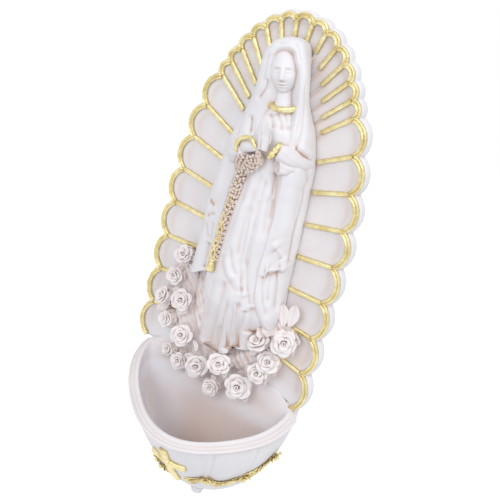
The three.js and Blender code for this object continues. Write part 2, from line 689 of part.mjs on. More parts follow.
// Garland of leaves that hangs between knots
function swag(side) {
  const keys = SWAG_KEYS[side];
  const pieces = [];
  for (let i = 0; i + 1 < keys.length; i++) {
    const from = keys[i];
    const to = keys[i + 1];
    const ahead = Math.sign(to.angle - from.angle);
    const steps = 5;
    const rings = [];
    for (let k = 0; k <= steps; k++) {
      const t = k / steps;
      const angle = THREE.MathUtils.lerp(from.angle, to.angle, t);
      const share = THREE.MathUtils.lerp(from.share, to.share, t) + from.sag * 4 * t * (1 - t);
      const centre = onBowl(angle, share, CLEARANCE);
      const along = onBowl(angle + ahead, share, 0).sub(onBowl(angle - ahead, share, 0)).normalize();
      const out = onBowl(angle, share, 1).sub(onBowl(angle, share, 0)).normalize();
      const over = new THREE.Vector3().crossVectors(along, out);
      const ring = [];
      for (let j = 0; j < SWAG_SIDES; j++) {
        const turn = (j / SWAG_SIDES) * 2 * Math.PI;
        const fat = SWAG_RADIUS * (0.75 + 0.35 * Math.sin(Math.PI * t));
        ring.push(
          centre.clone().addScaledVector(out, fat * Math.cos(turn)).addScaledVector(over, fat * Math.sin(turn)),
        );
      }
      rings.push(ring);
    }
    pieces.push(loft(rings));
    const knot = new THREE.SphereGeometry(KNOT_RADIUS, 8, 6);
    const place = onBowl(from.angle, from.share, CLEARANCE);
    knot.translate(place.x, place.y, place.z);
    if (i > 0) pieces.push(solidOf(knot));
  }
  return joined(pieces).subtract(bowlOuter(CLEARANCE));
}

// Relief section: a flat back and a rounded front with folds
const EDGE_STEP = 0.01;

// The same ring, moved outward by a distance all round
function widened(ring, distance) {
  return ring.map((point, i) => {
    const before = ring[(i + ring.length - 1) % ring.length];
    const after = ring[(i + 1) % ring.length];
    const leaving = after.clone().sub(point).normalize();
    const along = point.clone().sub(before).normalize().add(leaving).normalize();
    const stretch = Math.max(along.dot(leaving), 0.4);
    return point.clone().addScaledVector(new THREE.Vector3(along.y, -along.x, 0), distance / stretch);
  });
}

function reliefRing(row, z, backY, grow, folds, foldDepth, roundness) {
  const steps = 22;
  const ring = [];
  for (let k = 0; k <= steps; k++) {
    const turn = Math.PI * (1 - k / steps);
    const wave = foldDepth * Math.cos(folds * 2 * turn) * Math.sin(turn);
    const front = (row.depth + wave) * Math.pow(Math.max(Math.sin(turn), 0), roundness);
    ring.push(new THREE.Vector3(row.x + row.half * Math.cos(turn), backY - front - EDGE_STEP, z));
  }
  ring.push(new THREE.Vector3(row.x + row.half, backY, z));
  ring.unshift(new THREE.Vector3(row.x - row.half, backY, z));
  return widened(ring, grow);
}

function reliefLoft(keys, levels, backY, grow, fold, roundness) {
  const low = keys[0].z;
  const high = keys[keys.length - 1].z;
  const rings = [];
  for (let k = 0; k <= levels; k++) {
    const z = THREE.MathUtils.lerp(low, high, k / levels);
    const end = k === 0 ? -grow : k === levels ? grow : 0;
    rings.push(reliefRing(between(keys, z), z + end, backY, grow, fold.count, fold.depth(z), roundness));
  }
  return loft(rings);
}

// Robe: from the hem among the roses up to the neck
const ROBE_KEYS = [
  { z: -62, x: 6.5, half: 16, depth: 9.6 },
  { z: -40, x: 5.6, half: 15.5, depth: 13.5 },
  { z: -10, x: 4.8, half: 13.5, depth: 14.5 },
  { z: 14, x: 4.6, half: 11, depth: 13.5 },
  { z: 24, x: 4.6, half: 10.4, depth: 13 },
  { z: 36, x: 5, half: 11, depth: 13 },
  { z: 43, x: 5, half: 9.6, depth: 11 },
  { z: 48, x: 4.6, half: 5.6, depth: 8.5 },
];
const ROBE_BACK = SEAT_Y - MANTLE_BACK - CLEARANCE;

function robe(grow) {
  const fold = {
    count: ROBE_FOLDS,
    depth: (z) => ROBE_FOLD_DEPTH * smoothStep((ROBE_FOLD_TOP_Z - z) / ROBE_FOLD_FADE),
  };
  return reliefLoft(ROBE_KEYS, 16, ROBE_BACK, grow, fold, ROBE_ROUNDNESS);
}

// One side of the mantle: a quarter oval from the plate round to the front edge
function mantleSide(foot, edge, front) {
  const steps = 8;
  return Array.from({ length: steps + 1 }, (_, k) => {
    const turn = (1 - k / steps) * (Math.PI / 2);
    const x = THREE.MathUtils.lerp(edge, foot, Math.sin(turn));
    const y = THREE.MathUtils.lerp(front, SEAT_Y, 1 - Math.cos(turn));
    return new THREE.Vector2(x, y);
  });
}

// Section of the mantle, with its middle set back behind the robe and the head
function mantleRing(row, z, grow) {
  const left = mantleSide(row.footLeft, row.edgeLeft, row.frontLeft);
  const right = mantleSide(row.footRight, row.edgeRight, row.frontRight).reverse();
  const middle = [
    new THREE.Vector2(row.edgeLeft + MANTLE_LIP, row.frontLeft * MANTLE_MIDDLE_SHARE),
    new THREE.Vector2(row.edgeRight - MANTLE_LIP, row.frontRight * MANTLE_MIDDLE_SHARE),
  ];
  const ring = [...left, ...middle, ...right].map((point) => new THREE.Vector3(point.x, point.y, z));
  return widened(ring, grow);
}

function mantle(grow) {
  const low = MANTLE_KEYS[0].z;
  const high = MANTLE_KEYS[MANTLE_KEYS.length - 1].z;
  const levels = 30;
  const rings = [];
  for (let k = 0; k <= levels; k++) {
    const z = THREE.MathUtils.lerp(low, high, k / levels);
    const end = k === 0 ? -grow : k === levels ? grow : 0;
    rings.push(mantleRing(between(MANTLE_KEYS, z), z + end, grow));
  }
  return loft(rings);
}

// Head: tilted to its right and turned a little to its left
const HEAD_PLACE = new THREE.Matrix4()
  .makeRotationY(-HEAD_TILT * DEGREE)
  .multiply(new THREE.Matrix4().makeRotationZ(HEAD_TURN * DEGREE))
  .setPosition(HEAD_CENTRE);

// An egg on a neck, with a plain nose ridge
function head(grow) {
  const skull = new THREE.SphereGeometry(1, 14, 12);
  const spots = skull.attributes.position;
  for (let i = 0; i < spots.count; i++) {
    const height = spots.getY(i);
    const taper = height < 0 ? 1 - CHIN_TAPER * height * height : 1;
    spots.setXYZ(
      i,
      spots.getX(i) * taper * (HEAD_RADII.x + grow),
      -spots.getZ(i) * taper * (HEAD_RADII.y + grow),
      height * (HEAD_RADII.z + grow),
    );
  }
  const nose = new THREE.ConeGeometry(NOSE_RADIUS + grow, NOSE_LENGTH + grow, 4);
  nose.rotateX((90 + NOSE_LEAN) * DEGREE);
  nose.translate(0, -HEAD_RADII.y, -NOSE_LENGTH / 6);
  const neck = new THREE.CylinderGeometry(NECK_RADIUS + grow, NECK_RADIUS + grow, NECK_LENGTH, 16);
  neck.rotateX(Math.PI / 2);
  neck.translate(0, HEAD_RADII.y / 5, -HEAD_RADII.z);
  return joined([skull, nose, neck].map((geometry) => solidOf(geometry.applyMatrix4(HEAD_PLACE))));
}

// Opening of the veil in front of the face
function faceOpening() {
  const opening = new THREE.CylinderGeometry(1, 1, 2 * HEAD_RADII.y, 24);
  opening.scale(FACE_OPENING_HALF_WIDTH, 1, HEAD_RADII.z + HOOD_MARGIN);
  opening.translate(0, -1.2 * HEAD_RADII.y, -FACE_OPENING_DROP);
  return solidOf(opening.applyMatrix4(HEAD_PLACE));
}

// Joined hands: two palms pressed together, fingers up and a little forward
function hands(grow) {
  const shape = new THREE.Shape();
  shape.moveTo(-HAND_DEPTH / 2, 0);
  shape.lineTo(HAND_DEPTH / 2, 0);
  shape.quadraticCurveTo(HAND_DEPTH * 0.75, HAND_LENGTH * 0.45, HAND_DEPTH * 0.12, HAND_LENGTH);
  shape.lineTo(-HAND_DEPTH * 0.18, HAND_LENGTH * 0.98);
  shape.quadraticCurveTo(-HAND_DEPTH * 0.55, HAND_LENGTH * 0.5, -HAND_DEPTH / 2, 0);
  const palms = new THREE.ExtrudeGeometry(shape, {
    depth: 2 * (HAND_HALF_WIDTH - HAND_BEVEL),
    bevelEnabled: true,
    bevelThickness: HAND_BEVEL + grow,
    bevelSize: HAND_BEVEL * 0.6 + grow,
    bevelSegments: 2,
    curveSegments: 6,
  });
  palms.translate(0, 0, HAND_BEVEL - HAND_HALF_WIDTH);
  const basis = new THREE.Matrix4().makeBasis(
    new THREE.Vector3(0, -1, 0),
    new THREE.Vector3(0, 0, 1),
    new THREE.Vector3(-1, 0, 0),
  );
  palms.applyMatrix4(basis);
  palms.rotateX(-HAND_LEAN * DEGREE);
  palms.translate(WRIST_CENTRE.x, WRIST_CENTRE.y, WRIST_CENTRE.z);
  return solidOf(palms);
}

// Forearms: from the elbow to the wrist, with a cuff at the end of each sleeve
const ELBOWS = {
  left: new THREE.Vector3(-7.8, -20.5, 25),
  right: new THREE.Vector3(18, -20, 26.5),
};
const WRISTS = {
  left: WRIST_CENTRE.clone().add(new THREE.Vector3(-3.4, 1.2, 0.6)),
  right: WRIST_CENTRE.clone().add(new THREE.Vector3(3.6, 1.2, 0.8)),
};

function tube(from, to, radiusFrom, radiusTo, sides) {
  const along = to.clone().sub(from).normalize();
  const across = new THREE.Vector3(0, 0, 1).cross(along).normalize();
  const over = new THREE.Vector3().crossVectors(along, across);
  const rings = [
    [from, radiusFrom],
    [to, radiusTo],
  ].map(([centre, radius]) =>
    Array.from({ length: sides }, (_, i) => {
      const turn = (i / sides) * 2 * Math.PI;
      return centre
        .clone()
        .addScaledVector(across, radius * Math.cos(turn))
        .addScaledVector(over, radius * Math.sin(turn));
    }),
  );
  return loft(rings);
}

function sleeve(side, grow) {
  return tube(ELBOWS[side], sleeveEnd(side), SLEEVE_ELBOW_RADIUS + grow, SLEEVE_WRIST_RADIUS + grow, 16);
}

function sleeveEnd(side) {
  const along = WRISTS[side].clone().sub(ELBOWS[side]).normalize();
  return WRISTS[side].clone().addScaledVector(along, -CUFF_LENGTH - CLEARANCE);
}

function cuff(side, grow) {
  const along = WRISTS[side].clone().sub(ELBOWS[side]).normalize();
  const start = sleeveEnd(side).addScaledVector(along, CLEARANCE - grow);
  const end = WRISTS[side].clone().addScaledVector(along, grow);
  const radius = SLEEVE_WRIST_RADIUS + CUFF_FLARE + grow;
  return tube(start, end, radius, radius - CUFF_FLARE / 2, 16);
}

// A round cord along points, as one tube
function cord(points, radius, sides, steps) {
  const curve = new THREE.CatmullRomCurve3(points);
  const section = new THREE.Shape(
    Array.from({ length: sides }, (_, i) => {
      const turn = (i / sides) * 2 * Math.PI;
      return new THREE.Vector2(radius * Math.cos(turn), radius * Math.sin(turn));
    }),
  );
  return solidOf(new THREE.ExtrudeGeometry(section, { extrudePath: curve, steps, bevelEnabled: false }));
}

// Front of the robe at a place, by the same section as the robe's own
function robeFrontY(x, z) {
  const row = between(ROBE_KEYS, z);
  const share = THREE.MathUtils.clamp((x - row.x) / row.half, -1, 1);
  return ROBE_BACK - row.depth * Math.pow(Math.sqrt(1 - share * share), ROBE_ROUNDNESS);
}

const NECK_Z = ROBE_KEYS[ROBE_KEYS.length - 2].z + COLLAR_RISE;

function collar(grow) {
  const row = between(ROBE_KEYS, NECK_Z);
  const points = [];
  const steps = 8;
  for (let k = 0; k <= steps; k++) {
    const share = THREE.MathUtils.lerp(-COLLAR_SPREAD, COLLAR_SPREAD, k / steps);
    const x = row.x + share * row.half;
    const z = NECK_Z + COLLAR_LIFT * share * share;
    points.push(new THREE.Vector3(x, robeFrontY(x, z) - COLLAR_RADIUS * 0.9, z));
  }
  return cord(points, COLLAR_RADIUS + grow, 6, 10);
}

// Rosary: a strand of beads from the wrists down the robe, with a tassel at its end
const ROSARY_TOP = new THREE.Vector2(-2.4, 22);
const ROSARY_END = new THREE.Vector2(-5.4, -21);

function rosary() {
  const spot = (t) => {
    const x = THREE.MathUtils.lerp(ROSARY_TOP.x, ROSARY_END.x, t) - STRAND_BOW * Math.sin(Math.PI * t);
    const z = THREE.MathUtils.lerp(ROSARY_TOP.y, ROSARY_END.y, t);
    return new THREE.Vector3(x, robeFrontY(x, z) - ROBE_FOLD_DEPTH - BEAD_RADIUS, z);
  };
  const ringAt = (centre, radius) =>
    Array.from({ length: BEAD_SIDES }, (_, i) => {
      const turn = (i / BEAD_SIDES) * 2 * Math.PI;
      return new THREE.Vector3(
        centre.x + radius * Math.cos(turn),
        centre.y + radius * Math.sin(turn),
        centre.z,
      );
    });
  const rings = [];
  for (let i = 0; i < BEAD_COUNT; i++) {
    for (const [along, radius] of BEAD_PROFILE) rings.push(ringAt(spot((i + along) / BEAD_COUNT), radius));
  }
  const end = spot(1);
  for (const [down, radius] of TASSEL_PROFILE) {
    rings.push(ringAt(new THREE.Vector3(end.x, end.y, end.z - TASSEL_LENGTH * down), radius));
  }
  return loft(rings);
}

// Rose: rows of petals round a bud, facing forward, with a leaf where one shows
const ROSE_ROWS = [
  { reach: 0.7, height: 0 },
  { reach: 0.98, height: 0.42 },
  { reach: 1, height: 0.62 },
  { reach: 0.8, height: 0.58 },
  { reach: 0.72, height: 0.86 },
  { reach: 0.5, height: 0.74 },
  { reach: 0.42, height: 1 },
  { reach: 0.2, height: 0.86 },
];

function rose(row, grow) {
  const radius = row.radius + grow;
  const standOff = row.standOff ?? ROSE_STAND_OFF;
  const face = row.radius * ROSE_HEIGHT_SHARE + grow;
  const rings = ROSE_ROWS.map(({ reach, height }, level) =>
    Array.from({ length: ROSE_SIDES }, (_, i) => {
      const turn = (i / ROSE_SIDES) * 2 * Math.PI;
      const lobe = 1 + PETAL_LOBE * Math.cos(ROSE_PETALS * turn + level * PETAL_TURN * DEGREE);
      return new THREE.Vector3(
        row.x + radius * reach * lobe * Math.cos(turn),
        SEAT_Y - standOff - face * height + (level === 0 ? standOff + grow : 0),
        row.z + radius * reach * lobe * Math.sin(turn),
      );
    }),
  );
  const flower = loft(rings);
  return row.leaf === undefined ? flower : flower.add(leaf(row, grow));
}

function leaf(row, grow) {
  const blade = new THREE.SphereGeometry(1, 10, 6);
  blade.scale(LEAF_LENGTH / 2 + grow, LEAF_THICKNESS / 2 + grow, LEAF_WIDTH / 2 + grow);
  blade.translate(row.radius * 0.6 + LEAF_LENGTH / 2, 0, 0);
  blade.rotateY(-row.leaf * DEGREE);
  blade.translate(row.x, SEAT_Y - ROSE_STAND_OFF * 0.6, row.z);
  return solidOf(blade);
}

// Finishes
const WHITE = new THREE.MeshStandardMaterial({ name: "white_resin", color: 0xe9e3e2, roughness: 0.55, metalness: 0 });
const GOLD = new THREE.MeshStandardMaterial({ name: "gold_paint", color: 0xd2b24a, roughness: 0.35, metalness: 0.8 });
const PINK = new THREE.MeshStandardMaterial({ name: "washed_resin", color: 0xdfc6bb, roughness: 0.6, metalness: 0 });

const stoup = new THREE.Group();
stoup.name = "holy_water_stoup";

function place(name, solid, material) {
  const mesh = new THREE.Mesh(geometryOf(solid), material);
  mesh.name = name;
  stoup.add(mesh);
}

const bowlGrown = bowlOuter(CLEARANCE);
const robeGrown = robe(CLEARANCE);
const headGrown = head(CLEARANCE);
const handsGrown = hands(CLEARANCE);
const sleevesGrown = joined(["left", "right"].map((side) => sleeve(side, CLEARANCE)));
const cuffsGrown = joined(["left", "right"].map((side) => cuff(side, CLEARANCE)));
const mantleCutters = [robeGrown, headGrown, faceOpening(), sleevesGrown, cuffsGrown, collar(CLEARANCE)];
const mantleGrown = mantle(CLEARANCE);

place("back_plate", backPlate(), WHITE);
place("border_moulding", joined(SCALLOPS.map(borderArc)).subtract(bowlGrown), GOLD);
place("bowl", bowl(), WHITE);
place("cross", largestBody(cross()), GOLD);
place("swag_left", largestBody(swag("left")), GOLD);
place("swag_right", largestBody(swag("right")), GOLD);

place("head", head(0).subtract(robeGrown), WHITE);
place("mantle", largestBody(cutBy(mantle(0), mantleCutters)), WHITE);
place("hands", largestBody(hands(0).subtract(robeGrown)), WHITE);
for (const side of ["left", "right"]) {
  place(`cuff_${side}`, largestBody(cutBy(cuff(side, 0), [handsGrown, robeGrown])), GOLD);
  place(`sleeve_${side}`, largestBody(cutBy(sleeve(side, 0), [robeGrown, handsGrown, cuffsGrown])), WHITE);
}
place("collar", largestBody(cutBy(collar(0), [robeGrown, headGrown])), GOLD);
place("rosary", largestBody(cutBy(rosary(), [robeGrown, handsGrown, sleevesGrown, cuffsGrown])), PINK);

const rosesGrown = [];
for (const row of ROSES) {
  const solid = cutBy(rose(row, 0), [mantleGrown, bowlGrown, ...rosesGrown]);
  place(row.name, largestBody(solid), WHITE);
  rosesGrown.push(rose(row, CLEARANCE));
}
place("robe", largestBody(cutBy(robe(0), rosesGrown)), WHITE);

const rayCutters = [mantleGrown, ...rosesGrown, bowlGrown];
for (let i = 0; i < RAYS_PER_SIDE; i++) {
  const number = String(i + 1).padStart(2, "0");
  place(`ray_right_${number}`, largestBody(cutBy(ray(CUSPS_RIGHT[i]), rayCutters)), GOLD);
  place(`ray_left_${number}`, largestBody(cutBy(ray(CUSPS_LEFT[i]), rayCutters)), GOLD);
}

export default stoup;
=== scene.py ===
"""Wall-hung holy water stoup in white resin with gold paint and a pinkish antique wash, with painted shade laid into
its hollows and between its parts.

Sizes are in millimetres and become metres when a mesh is written. x runs right, -y to the front and z up.
"""

import math

import bpy
import numpy as np
from mathutils import Matrix, Vector
from mathutils.bvhtree import BVHTree


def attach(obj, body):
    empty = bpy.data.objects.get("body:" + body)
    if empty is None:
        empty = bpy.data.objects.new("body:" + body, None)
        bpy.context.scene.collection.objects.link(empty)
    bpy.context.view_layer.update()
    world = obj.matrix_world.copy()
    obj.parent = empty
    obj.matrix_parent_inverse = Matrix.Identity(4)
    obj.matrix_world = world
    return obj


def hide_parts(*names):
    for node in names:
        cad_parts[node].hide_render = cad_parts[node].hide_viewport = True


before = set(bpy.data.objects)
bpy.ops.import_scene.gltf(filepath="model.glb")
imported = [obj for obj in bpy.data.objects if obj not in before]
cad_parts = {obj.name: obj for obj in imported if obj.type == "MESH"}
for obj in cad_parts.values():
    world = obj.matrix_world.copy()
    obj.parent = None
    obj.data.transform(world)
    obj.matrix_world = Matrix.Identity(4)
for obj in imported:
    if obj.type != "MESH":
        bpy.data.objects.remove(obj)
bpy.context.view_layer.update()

MM = 0.001
PLATE_FRONT = -6.0
SEAT_Y = -6.3


# ---------------------------------------------------------------- working on meshes

def clear_selection():
    bpy.ops.object.select_all(action="DESELECT")


def pick(piece):
    clear_selection()
    piece.select_set(True)
    bpy.context.view_layer.objects.active = piece


def points_of(piece):
    flat = np.empty(len(piece.data.vertices) * 3)
    piece.data.vertices.foreach_get("co", flat)
    return flat.reshape(-1, 3) / MM


def set_points(piece, points):
    piece.data.vertices.foreach_set("co", (np.asarray(points, float) * MM).ravel())
    piece.data.update()


def normals_of(piece):
    flat = np.empty(len(piece.data.vertices) * 3)
    piece.data.vertex_normals.foreach_get("vector", flat)
    return flat.reshape(-1, 3)


def sheet_of(name, rows):
    """A grid of faces through rows of points, each row with the same number of points."""
    rows = np.asarray(rows, float)
    count, width = rows.shape[:2]
    clear_selection()
    bpy.ops.mesh.primitive_grid_add(x_subdivisions=width - 1, y_subdivisions=count - 1, size=2)
    piece = bpy.context.object
    piece.name = name
    flat = points_of(piece) * MM
    column = np.rint((flat[:, 0] + 1) / 2 * (width - 1)).astype(int)
    row = np.rint((flat[:, 1] + 1) / 2 * (count - 1)).astype(int)
    set_points(piece, rows[row, column])
    return piece


def close_seams(piece, outward=True):
    pick(piece)
    bpy.ops.object.mode_set(mode="EDIT")
    bpy.ops.mesh.select_all(action="SELECT")
    bpy.ops.mesh.remove_doubles(threshold=0.002 * MM)
    bpy.ops.mesh.dissolve_degenerate(threshold=0.001 * MM)
    if outward:
        bpy.ops.mesh.select_all(action="SELECT")
        bpy.ops.mesh.normals_make_consistent(inside=False)
    bpy.ops.object.mode_set(mode="OBJECT")
    bpy.ops.object.shade_smooth()
    return piece


def loft_of(name, rings):
    """A closed body through closed rings of points, capped at both ends."""
    rings = [np.asarray(ring, float) for ring in rings]
    first = np.repeat(rings[0].mean(axis=0)[None, :], len(rings[0]), axis=0)
    last = np.repeat(rings[-1].mean(axis=0)[None, :], len(rings[-1]), axis=0)
    rows = [np.vstack([ring, ring[:1]]) for ring in [first, *rings, last]]
    return close_seams(sheet_of(name, rows))


def face_towards(piece, direction):
    """Turns an open sheet over if it mostly faces away from a direction."""
    areas = np.array([face.area for face in piece.data.polygons])
    faces = np.array([face.normal for face in piece.data.polygons])
    if (areas[:, None] * faces).sum(axis=0) @ np.asarray(direction, float) < 0:
        pick(piece)
        bpy.ops.object.mode_set(mode="EDIT")
        bpy.ops.mesh.select_all(action="SELECT")
        bpy.ops.mesh.flip_normals()
        bpy.ops.object.mode_set(mode="OBJECT")
    return piece


def apply_modifiers(piece):
    pick(piece)
    for modifier in list(piece.modifiers):
        bpy.ops.object.modifier_apply(modifier=modifier.name)
    return piece


def thicken(piece, thickness, edge=0.0):
    """Gives a sheet its thickness behind its face, with its edges rounded."""
    solid = piece.modifiers.new("thickness", "SOLIDIFY")
    solid.thickness = thickness * MM
    solid.offset = -1
    solid.use_even_offset = False
    if edge:
        bevel = piece.modifiers.new("rounded_edge", "BEVEL")
        bevel.width = edge * MM
        bevel.segments = 3
        bevel.limit_method = "ANGLE"
        bevel.angle_limit = math.radians(55)
        bevel.use_clamp_overlap = True
    apply_modifiers(piece)
    bpy.ops.object.shade_smooth()
    return piece


def round_off(piece, levels):
    smooth = piece.modifiers.new("rounding", "SUBSURF")
    smooth.levels = levels
    smooth.render_levels = levels
    apply_modifiers(piece)
    return piece


def joined(name, pieces):
    clear_selection()
    for piece in pieces:
        piece.select_set(True)
    bpy.context.view_layer.objects.active = pieces[0]
    if len(pieces) > 1:
        bpy.ops.object.join()
    pieces[0].name = name
    return pieces[0]


def copy_of(master, name, place):
    """A copy with its own mesh, put in its place by a matrix in millimetres."""
    pick(master)
    bpy.ops.object.duplicate(linked=False)
    piece = bpy.context.object
    piece.name = name
    spot = place.copy()
    spot.translation = spot.translation * MM
    piece.data.transform(spot)
    piece.data.update()
    return piece


def smooth_step(value):
    t = np.clip(value, 0, 1)
    return t * t * (3 - 2 * t)


def smooth_line(keys, count):
    """Points on a smooth curve through key points, evenly spread over the keys."""
    keys = np.asarray(keys, float)
    spots = np.linspace(0, len(keys) - 1, count)
    before = np.clip(np.floor(spots).astype(int), 0, len(keys) - 2)
    t = (spots - before)[:, None]
    a = keys[np.clip(before - 1, 0, len(keys) - 1)]
    b = keys[before]
    c = keys[before + 1]
    d = keys[np.clip(before + 2, 0, len(keys) - 1)]
    return 0.5 * (2 * b + (c - a) * t + (2 * a - 5 * b + 4 * c - d) * t**2 + (3 * b - a - 3 * c + d) * t**3)


def distance_to_line(points, line):
    """Distance of each point to a bent line, and how far along the line it is, from 0 to 1."""
    line = np.asarray(line, float)
    best = np.full(len(points), 1e9)
    along = np.zeros(len(points))
    lengths = np.linalg.norm(np.diff(line, axis=0), axis=1)
    walked = np.concatenate([[0], np.cumsum(lengths)])
    for i in range(len(line) - 1):
        step = line[i + 1] - line[i]
        t = np.clip(((points - line[i]) @ step) / max(step @ step, 1e-9), 0, 1)
        gap = np.linalg.norm(points - (line[i] + t[:, None] * step), axis=1)
        nearer = gap < best
        best[nearer] = gap[nearer]
        along[nearer] = (walked[i] + t[nearer] * lengths[i]) / walked[-1]
    return best, along


def tube_along(name, line, radii, sides=28, flat=1.0, wave=None):
    """A closed tube along a line, with a radius at each point."""
    line = np.asarray(line, float)
    rings = []
    for k, (spot, radius) in enumerate(zip(line, radii)):
        along = line[min(k + 1, len(line) - 1)] - line[max(k - 1, 0)]
        along /= np.linalg.norm(along)
        across = np.cross((0, 0, 1), along)
        across /= max(np.linalg.norm(across), 1e-6)
        over = np.cross(along, across)
        turn = np.linspace(0, 2 * math.pi, sides + 1)[:-1]
        swing = radius * (1 + (wave(turn, k / (len(line) - 1)) if wave else 0))
        rings.append(spot + across * (swing * np.cos(turn))[:, None] + over * (swing * flat * np.sin(turn))[:, None])
    return loft_of(name, rings)


def carve(piece, strokes, sight=None):
    """Presses valleys into a surface, or raises ridges where the depth is negative, along lines.

    A stroke is (line, width, depth, fade at its start, fade at its end). With a sight, the lines are drawn onto
    the surface along that direction."""
    points = points_of(piece)
    normals = normals_of(piece)
    moved = np.zeros(len(points))
    seen = points
    faced = 1.0
    if sight is not None:
        seen = points - np.outer(points @ sight, sight)
        faced = smooth_step((normals @ sight) / 0.25)
    for line, width, depth, fade_in, fade_out in strokes:
        drawn = smooth_line(line, 4 * len(line))
        if sight is not None:
            drawn = drawn - np.outer(drawn @ sight, sight)
        gap, along = distance_to_line(seen, drawn)
        ends = np.minimum(along / max(fade_in, 1e-3), (1 - along) / max(fade_out, 1e-3))
        crease = 0.75 * np.exp(-((gap / (0.8 * width)) ** 1.3))
        valley = 0.9 * np.exp(-((gap / (2.1 * width)) ** 2))
        moved += depth * (crease + valley) * smooth_step(ends)
    moved = 2.2 * np.tanh(moved / 2.2) * faced
    set_points(piece, points - normals * moved[:, None])
    return piece


# ---------------------------------------------------------------- finishes

def new_finish(name):
    finish = bpy.data.materials.new(name)
    finish.use_nodes = True
    nodes = finish.node_tree.nodes
    nodes.clear()
    out = nodes.new("ShaderNodeOutputMaterial")
    skin = nodes.new("ShaderNodeBsdfPrincipled")
    finish.node_tree.links.new(skin.outputs["BSDF"], out.inputs["Surface"])
    return finish, skin


def noise_on(finish, scale, detail, roughness=0.5):
    nodes = finish.node_tree.nodes
    place = nodes.new("ShaderNodeTexCoord")
    noise = nodes.new("ShaderNodeTexNoise")
    noise.inputs["Scale"].default_value = scale
    noise.inputs["Detail"].default_value = detail
    noise.inputs["Roughness"].default_value = roughness
    finish.node_tree.links.new(place.outputs["Object"], noise.inputs["Vector"])
    return noise


def ramp_on(finish, source, stops):
    ramp = finish.node_tree.nodes.new("ShaderNodeValToRGB")
    while len(ramp.color_ramp.elements) < len(stops):
        ramp.color_ramp.elements.new(0.5)
    for element, (place, colour) in zip(ramp.color_ramp.elements, stops):
        element.position = place
        element.color = (*colour, 1)
    finish.node_tree.links.new(source, ramp.inputs["Fac"])
    return ramp


def mixed(finish, kind, share, one, other):
    mix = finish.node_tree.nodes.new("ShaderNodeMix")
    mix.data_type = "RGBA"
    mix.blend_type = kind
    links = finish.node_tree.links
    if isinstance(share, float):
        mix.inputs["Factor"].default_value = share
    else:
        links.new(share, mix.inputs["Factor"])
    links.new(one, mix.inputs["A"])
    links.new(other, mix.inputs["B"])
    return mix.outputs["Result"]


def bumped(finish, skin, height, strength, distance):
    bump = finish.node_tree.nodes.new("ShaderNodeBump")
    bump.inputs["Strength"].default_value = strength
    bump.inputs["Distance"].default_value = distance * MM
    finish.node_tree.links.new(height, bump.inputs["Height"])
    finish.node_tree.links.new(bump.outputs["Normal"], skin.inputs["Normal"])


def painted_value(finish, name):
    value = finish.node_tree.nodes.new("ShaderNodeAttribute")
    value.attribute_name = name
    return value.outputs["Fac"]


def ranged(finish, source, low, high):
    change = finish.node_tree.nodes.new("ShaderNodeMapRange")
    change.inputs["To Min"].default_value = low
    change.inputs["To Max"].default_value = high
    finish.node_tree.links.new(source, change.inputs["Value"])
    return change.outputs["Result"]


def resin_finish(name, stops, grain):
    """Cast resin: a pale ground darkened by the wash that has settled in its hollows and by painted shade in its
    recesses and between parts.
    """
    finish, skin = new_finish(name)
    # Painted shade: the attribute also carries the shade of hollows and of nearby parts, and this ramp darkens the
    # resin with it.
    wash_and_shade = ramp_on(finish, painted_value(finish, "wash_and_shade"), stops)
    cloud = noise_on(finish, 55, 4)
    tint = ramp_on(finish, cloud.outputs["Fac"], [(0.3, (0.94, 0.925, 0.93)), (0.7, (1, 1, 1))])
    colour = mixed(finish, "MULTIPLY", 1.0, wash_and_shade.outputs["Color"], tint.outputs["Color"])
    finish.node_tree.links.new(colour, skin.inputs["Base Color"])
    fine = noise_on(finish, grain, 5, 0.6)
    finish.node_tree.links.new(ranged(finish, fine.outputs["Fac"], 0.42, 0.62), skin.inputs["Roughness"])
    skin.inputs["Specular IOR Level"].default_value = 0.4
    bumped(finish, skin, fine.outputs["Fac"], 0.25, 0.12)
    return finish


def gold_finish():
    """Gold paint: brushed on thinly, with painted shade making it darker and browner in the grooves and between parts,
    and pale where it is rubbed.
    """
    finish, skin = new_finish("gold_paint_brushed_and_shaded")
    blot = noise_on(finish, 320, 5, 0.65)
    base = ramp_on(
        finish,
        blot.outputs["Fac"],
        [(0.3, (0.6, 0.48, 0.2)), (0.5, (0.74, 0.64, 0.33)), (0.72, (0.86, 0.81, 0.54))],
    )
    # Painted shade: the gold is darkened and browned where the attribute marks hollows and nearby parts.
    gold_wash_and_shade = ramp_on(
        finish,
        painted_value(finish, "wash_and_shade"),
        [(0.0, (1, 1, 1)), (0.4, (0.92, 0.86, 0.72)), (1.0, (0.5, 0.38, 0.22))],
    )
    colour = mixed(finish, "MULTIPLY", 1.0, base.outputs["Color"], gold_wash_and_shade.outputs["Color"])
    finish.node_tree.links.new(colour, skin.inputs["Base Color"])
    skin.inputs["Metallic"].default_value = 0.75
    finish.node_tree.links.new(ranged(finish, blot.outputs["Fac"], 0.24, 0.5), skin.inputs["Roughness"])
    bumped(finish, skin, blot.outputs["Fac"], 0.35, 0.25)
    return finish


